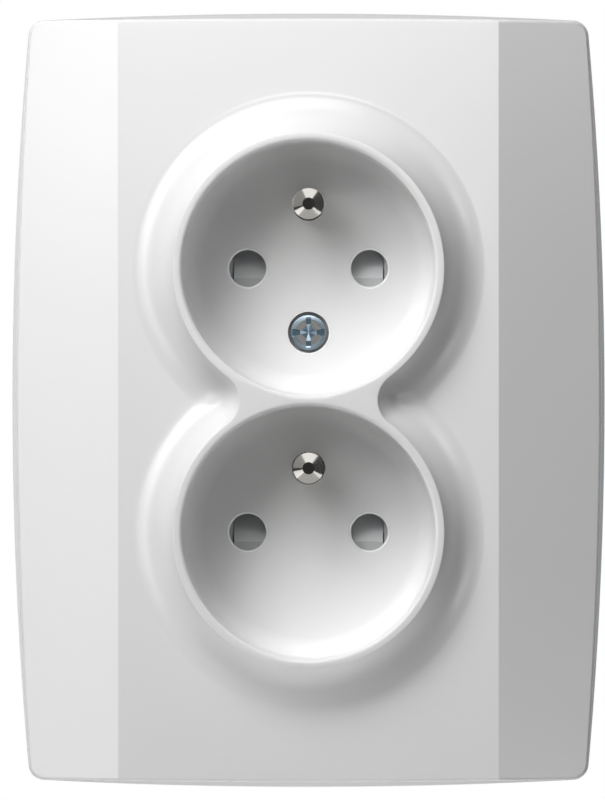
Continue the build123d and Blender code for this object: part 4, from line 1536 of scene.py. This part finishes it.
@dataclass
class Studio:
    """Camera, lights, floor and background. Sizes in metres, and pixels of the 605 by 800 picture."""

    picture: tuple[int, int] = (605, 800)
    pixels_per_mm: float = 6.395
    middle_pixel: tuple[float, float] = (308.5, 400.2)
    lens_mm: float = 1000.0
    sensor_mm: float = 36.0
    clip_end: float = 100.0
    floor_drop: float = 0.3
    floor_size: float = 2.0
    floor_back: float = 0.4
    floor_glow: float = 0.35
    floor_roughness: float = 0.7
    floor_dark: Color = (0.3, 0.3, 0.3)
    floor_pale: Color = (0.85, 0.85, 0.85)
    softboxes: tuple[Softbox, ...] = (
        Softbox("key_softbox", 50, 130, 1.0, 0.42, 2.9),
        Softbox("high_softbox", 58, 110, 1.0, 0.42, 3.45, False),
        Softbox("top_softbox", 50, 90, 1.0, 0.42, 1.8),
        Softbox("left_softbox", 50, 150, 1.0, 0.42, 1.7),
        Softbox("right_softbox", 60, 0, 1.0, 0.42, 0.6, False),
        Softbox("near_softbox", 49, 121, 0.31, 0.15, 0.27, False),
        Softbox("low_softbox", 87, 265, 0.3, 0.15, 0.43, False),
        Softbox("back_left_softbox", 140, 140, 1.0, 0.5, 5.0, False),
        Softbox("back_right_softbox", 145, 30, 1.0, 0.5, 3.0, False),
    )
    cards: tuple[Card, ...] = (
        Card("front_flag", (0.0, -1.5, 0.0), (0.0, 0.0, 0.0), (1.6, 1.6), 0.03),
        Card("right_flag", (0.19, -0.062, 0.056), (0.0, 0.0, 0.01), (0.1, 0.36), 0.05),
        Card("left_flag", (-0.18, -0.068, 0.0945), (-0.015, -0.006, -0.0155), (0.1, 0.32), 0.27),
        Card("left_low_flag", (-0.16, -0.05, -0.028), (0.0, 0.0, -0.028), (0.08, 0.035), 0.03),
        Card("right_rear_flag", (0.1, 0.35, 0.0), (0.05, 0.0, 0.0), (0.12, 0.8), 0.25),
        Card("left_rear_flag", (-0.1, 0.35, 0.0), (-0.05, 0.0, 0.0), (0.12, 0.8), 0.75),
        Card("top_rear_flag", (0.0, 0.35, 0.1), (0.0, 0.0, 0.06), (0.3, 0.08), 0.33),
        Card("low_rear_flag", (0.0, 0.35, -0.1), (0.0, 0.0, -0.06), (0.3, 0.08), 0.25),
        Card("right_side_flag", (0.188, -0.146, 0.0), (0.038, -0.013, 0.0), (0.04, 0.08), 0.0),
        Card("right_high_card", (0.188, -0.146, 0.1), (0.038, -0.013, 0.1), (0.04, 0.06), 4.6),
        Card("right_low_card", (0.188, -0.146, -0.095), (0.038, -0.013, -0.095), (0.04, 0.06), 3.6),
        Card("floor_flag", (0.0, -0.06, -0.25), (0.0, -0.01, 0.0), (0.5, 0.16), 0.45),
        Card("front_card", (0.0, -0.783, 0.18), (0.0, 0.0, 0.0), (0.14, 0.253), 8.0),
        Card("left_card", (-0.192, -0.149, 0.0), (-0.038, -0.013, 0.0), (0.034, 0.24), 3.1),
        Card("left_high_card", (-0.188, -0.1456, 0.078), (-0.038, -0.013, 0.078), (0.04, 0.1), 5.2, -17.0),
    )

    def build(self) -> None:
        """Sets up everything around the outlet."""
        bpy.context.scene.view_settings.view_transform = "Standard"
        self._camera()
        self._floor()
        self._world()
        for softbox in self.softboxes:
            softbox.hang()
        for card in self.cards:
            card.hang()

    def _camera(self) -> None:
        """Makes a camera with a very long lens straight in front of the outlet."""
        scale = self.pixels_per_mm / MILLIMETRE
        tall = self.picture[1] / scale
        data = bpy.data.cameras.new("camera")
        data.lens = self.lens_mm
        data.sensor_width = self.sensor_mm
        data.clip_end = self.clip_end
        camera = bpy.data.objects.new("camera", data)
        distance = self.lens_mm / self.sensor_mm * tall
        x = (self.picture[0] / 2 - self.middle_pixel[0]) / scale
        z = (self.middle_pixel[1] - self.picture[1] / 2) / scale
        camera.location = (x, -distance, z)
        camera.rotation_euler = (math.radians(90), 0, 0)
        bpy.context.scene.collection.objects.link(camera)
        bpy.context.scene.camera = camera

    def _floor(self) -> None:
        """Lays a plain pale floor a little below the outlet."""
        low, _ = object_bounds()
        bm = bmesh.new()
        place = Matrix.Translation((0, self.floor_back - self.floor_size / 2, low.z - self.floor_drop))
        bmesh.ops.create_grid(bm, x_segments=1, y_segments=1, size=self.floor_size / 2, matrix=place)
        floor = add_object(bm, "floor")
        floor.data.materials.append(self._floor_paint())
        floor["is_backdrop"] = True

    def _floor_paint(self) -> bpy.types.Material:
        """Makes a paint that is pale to the eye and throws little light up at the outlet.

        Returns:
            The floor's material.
        """
        material = bpy.data.materials.new("floor_paint")
        material.use_nodes = True
        nodes, links = material.node_tree.nodes, material.node_tree.links
        shader = nodes["Principled BSDF"]
        shader.inputs["Roughness"].default_value = self.floor_roughness
        seen = self._seen(material.node_tree)
        paint = nodes.new("ShaderNodeMix")
        paint.data_type = "RGBA"
        paint.inputs["A"].default_value = (*self.floor_dark, 1.0)
        paint.inputs["B"].default_value = (*self.floor_pale, 1.0)
        links.new(seen, paint.inputs["Factor"])
        links.new(paint.outputs["Result"], shader.inputs["Base Color"])
        pale = nodes.new("ShaderNodeMath")
        pale.operation = "MULTIPLY"
        pale.inputs[1].default_value = self.floor_glow
        links.new(seen, pale.inputs[0])
        links.new(pale.outputs["Value"], shader.inputs["Emission Strength"])
        return material

    @staticmethod
    def _seen(tree: bpy.types.NodeTree) -> bpy.types.NodeSocket:
        """Adds nodes that tell rays of the eye, of mirrors and of glass from the rays that light things.

        Args:
            tree: The node tree of the floor's material or of the world.

        Returns:
            The socket that is 1 for those rays and 0 for the others.
        """
        path = tree.nodes.new("ShaderNodeLightPath")
        socket = path.outputs["Is Camera Ray"]
        for kind in ("Is Glossy Ray", "Is Transmission Ray"):
            either = tree.nodes.new("ShaderNodeMath")
            either.operation = "MAXIMUM"
            tree.links.new(socket, either.inputs[0])
            tree.links.new(path.outputs[kind], either.inputs[1])
            socket = either.outputs["Value"]
        return socket

    def _world(self) -> None:
        """Makes a background that is white to the eye, to mirrors and to glass, and lights nothing."""
        world = bpy.data.worlds.new("studio")
        world.use_nodes = True
        bpy.context.scene.world = world
        background = world.node_tree.nodes["Background"]
        background.inputs["Color"].default_value = (1, 1, 1, 1)
        world.node_tree.links.new(self._seen(world.node_tree), background.inputs["Strength"])


class Outlet:
    """The whole outlet: its rebuilt pieces and the solids that stay. Easings in millimetres."""

    SHUTTER_EASING = 0.08
    BASE_EASING = 0.15
    SCREW_EASING = 0.08
    PLAIN_EASINGS = {
        "rear_cap": 0.25,
        "mounting_bracket": 0.12,
        "left_claw": 0.12,
        "right_claw": 0.12,
        "left_claw_screw": SCREW_EASING,
        "right_claw_screw": SCREW_EASING,
    }

    def __init__(self, frame: dict) -> None:
        """Keeps the frame.
        """
        self.nodes: dict[str, bpy.types.Object] = frame["nodes"]
        self.bodies: dict[str, bpy.types.Object] = frame["bodies"]
        self.slots = {row["node"]: row["material_slot"] for row in frame["record"]["subparts"]}

    def build(self) -> None:
        """Builds and dresses every piece."""
        cover = FrontCover()
        cover.dress()
        for name in ("upper_earth_pin", "lower_earth_pin"):
            low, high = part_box(name)
            EarthPin(name, (low.z + high.z) / 2 / MILLIMETRE).dress()
        low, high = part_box("cover_screw")
        CoverScrew((low.z + high.z) / 2 / MILLIMETRE, -high.y / MILLIMETRE).dress()
        for name, well_z in (("upper_shutter", cover.well_z), ("lower_shutter", -cover.well_z)):
            Shutter(self.nodes[name], self.SHUTTER_EASING, well_z).dress(Palette.SHUTTER, name)
            low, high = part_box(f"{name}_springs")
            ShutterSprings(name, low.z / MILLIMETRE, high.z / MILLIMETRE).dress()
        base = BaseHousing(self.nodes["base_housing"], self.BASE_EASING, cover.well_z)
        base.dress(Palette.BASE, OUTLET_BODY)
        screws = SlottedScrews(self.nodes["rear_cap_screws"], self.SCREW_EASING)
        screws.dress(Palette.SCREW, OUTLET_BODY)
        finishes = Palette.by_slot()
        for name, easing in self.PLAIN_EASINGS.items():
            body = name if name in self.bodies else OUTLET_BODY
            SoftenedSolid(self.nodes[name], easing).dress(finishes[self.slots[name]], body)
        for name, node in self.nodes.items():
            if not node.hide_render:
                node.data.materials.clear()
                node.data.materials.append(finishes[self.slots[name]].material())
                LOG.info("%s keeps its solid, in %s", name, self.slots[name])


def main() -> None:
    """Builds the outlet and its studio around the frame."""
    logging.basicConfig(level=logging.INFO, format="%(name)s: %(message)s")
    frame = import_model()
    Outlet(frame).build()
    Studio().build()


if __name__ == "__main__":
    main()
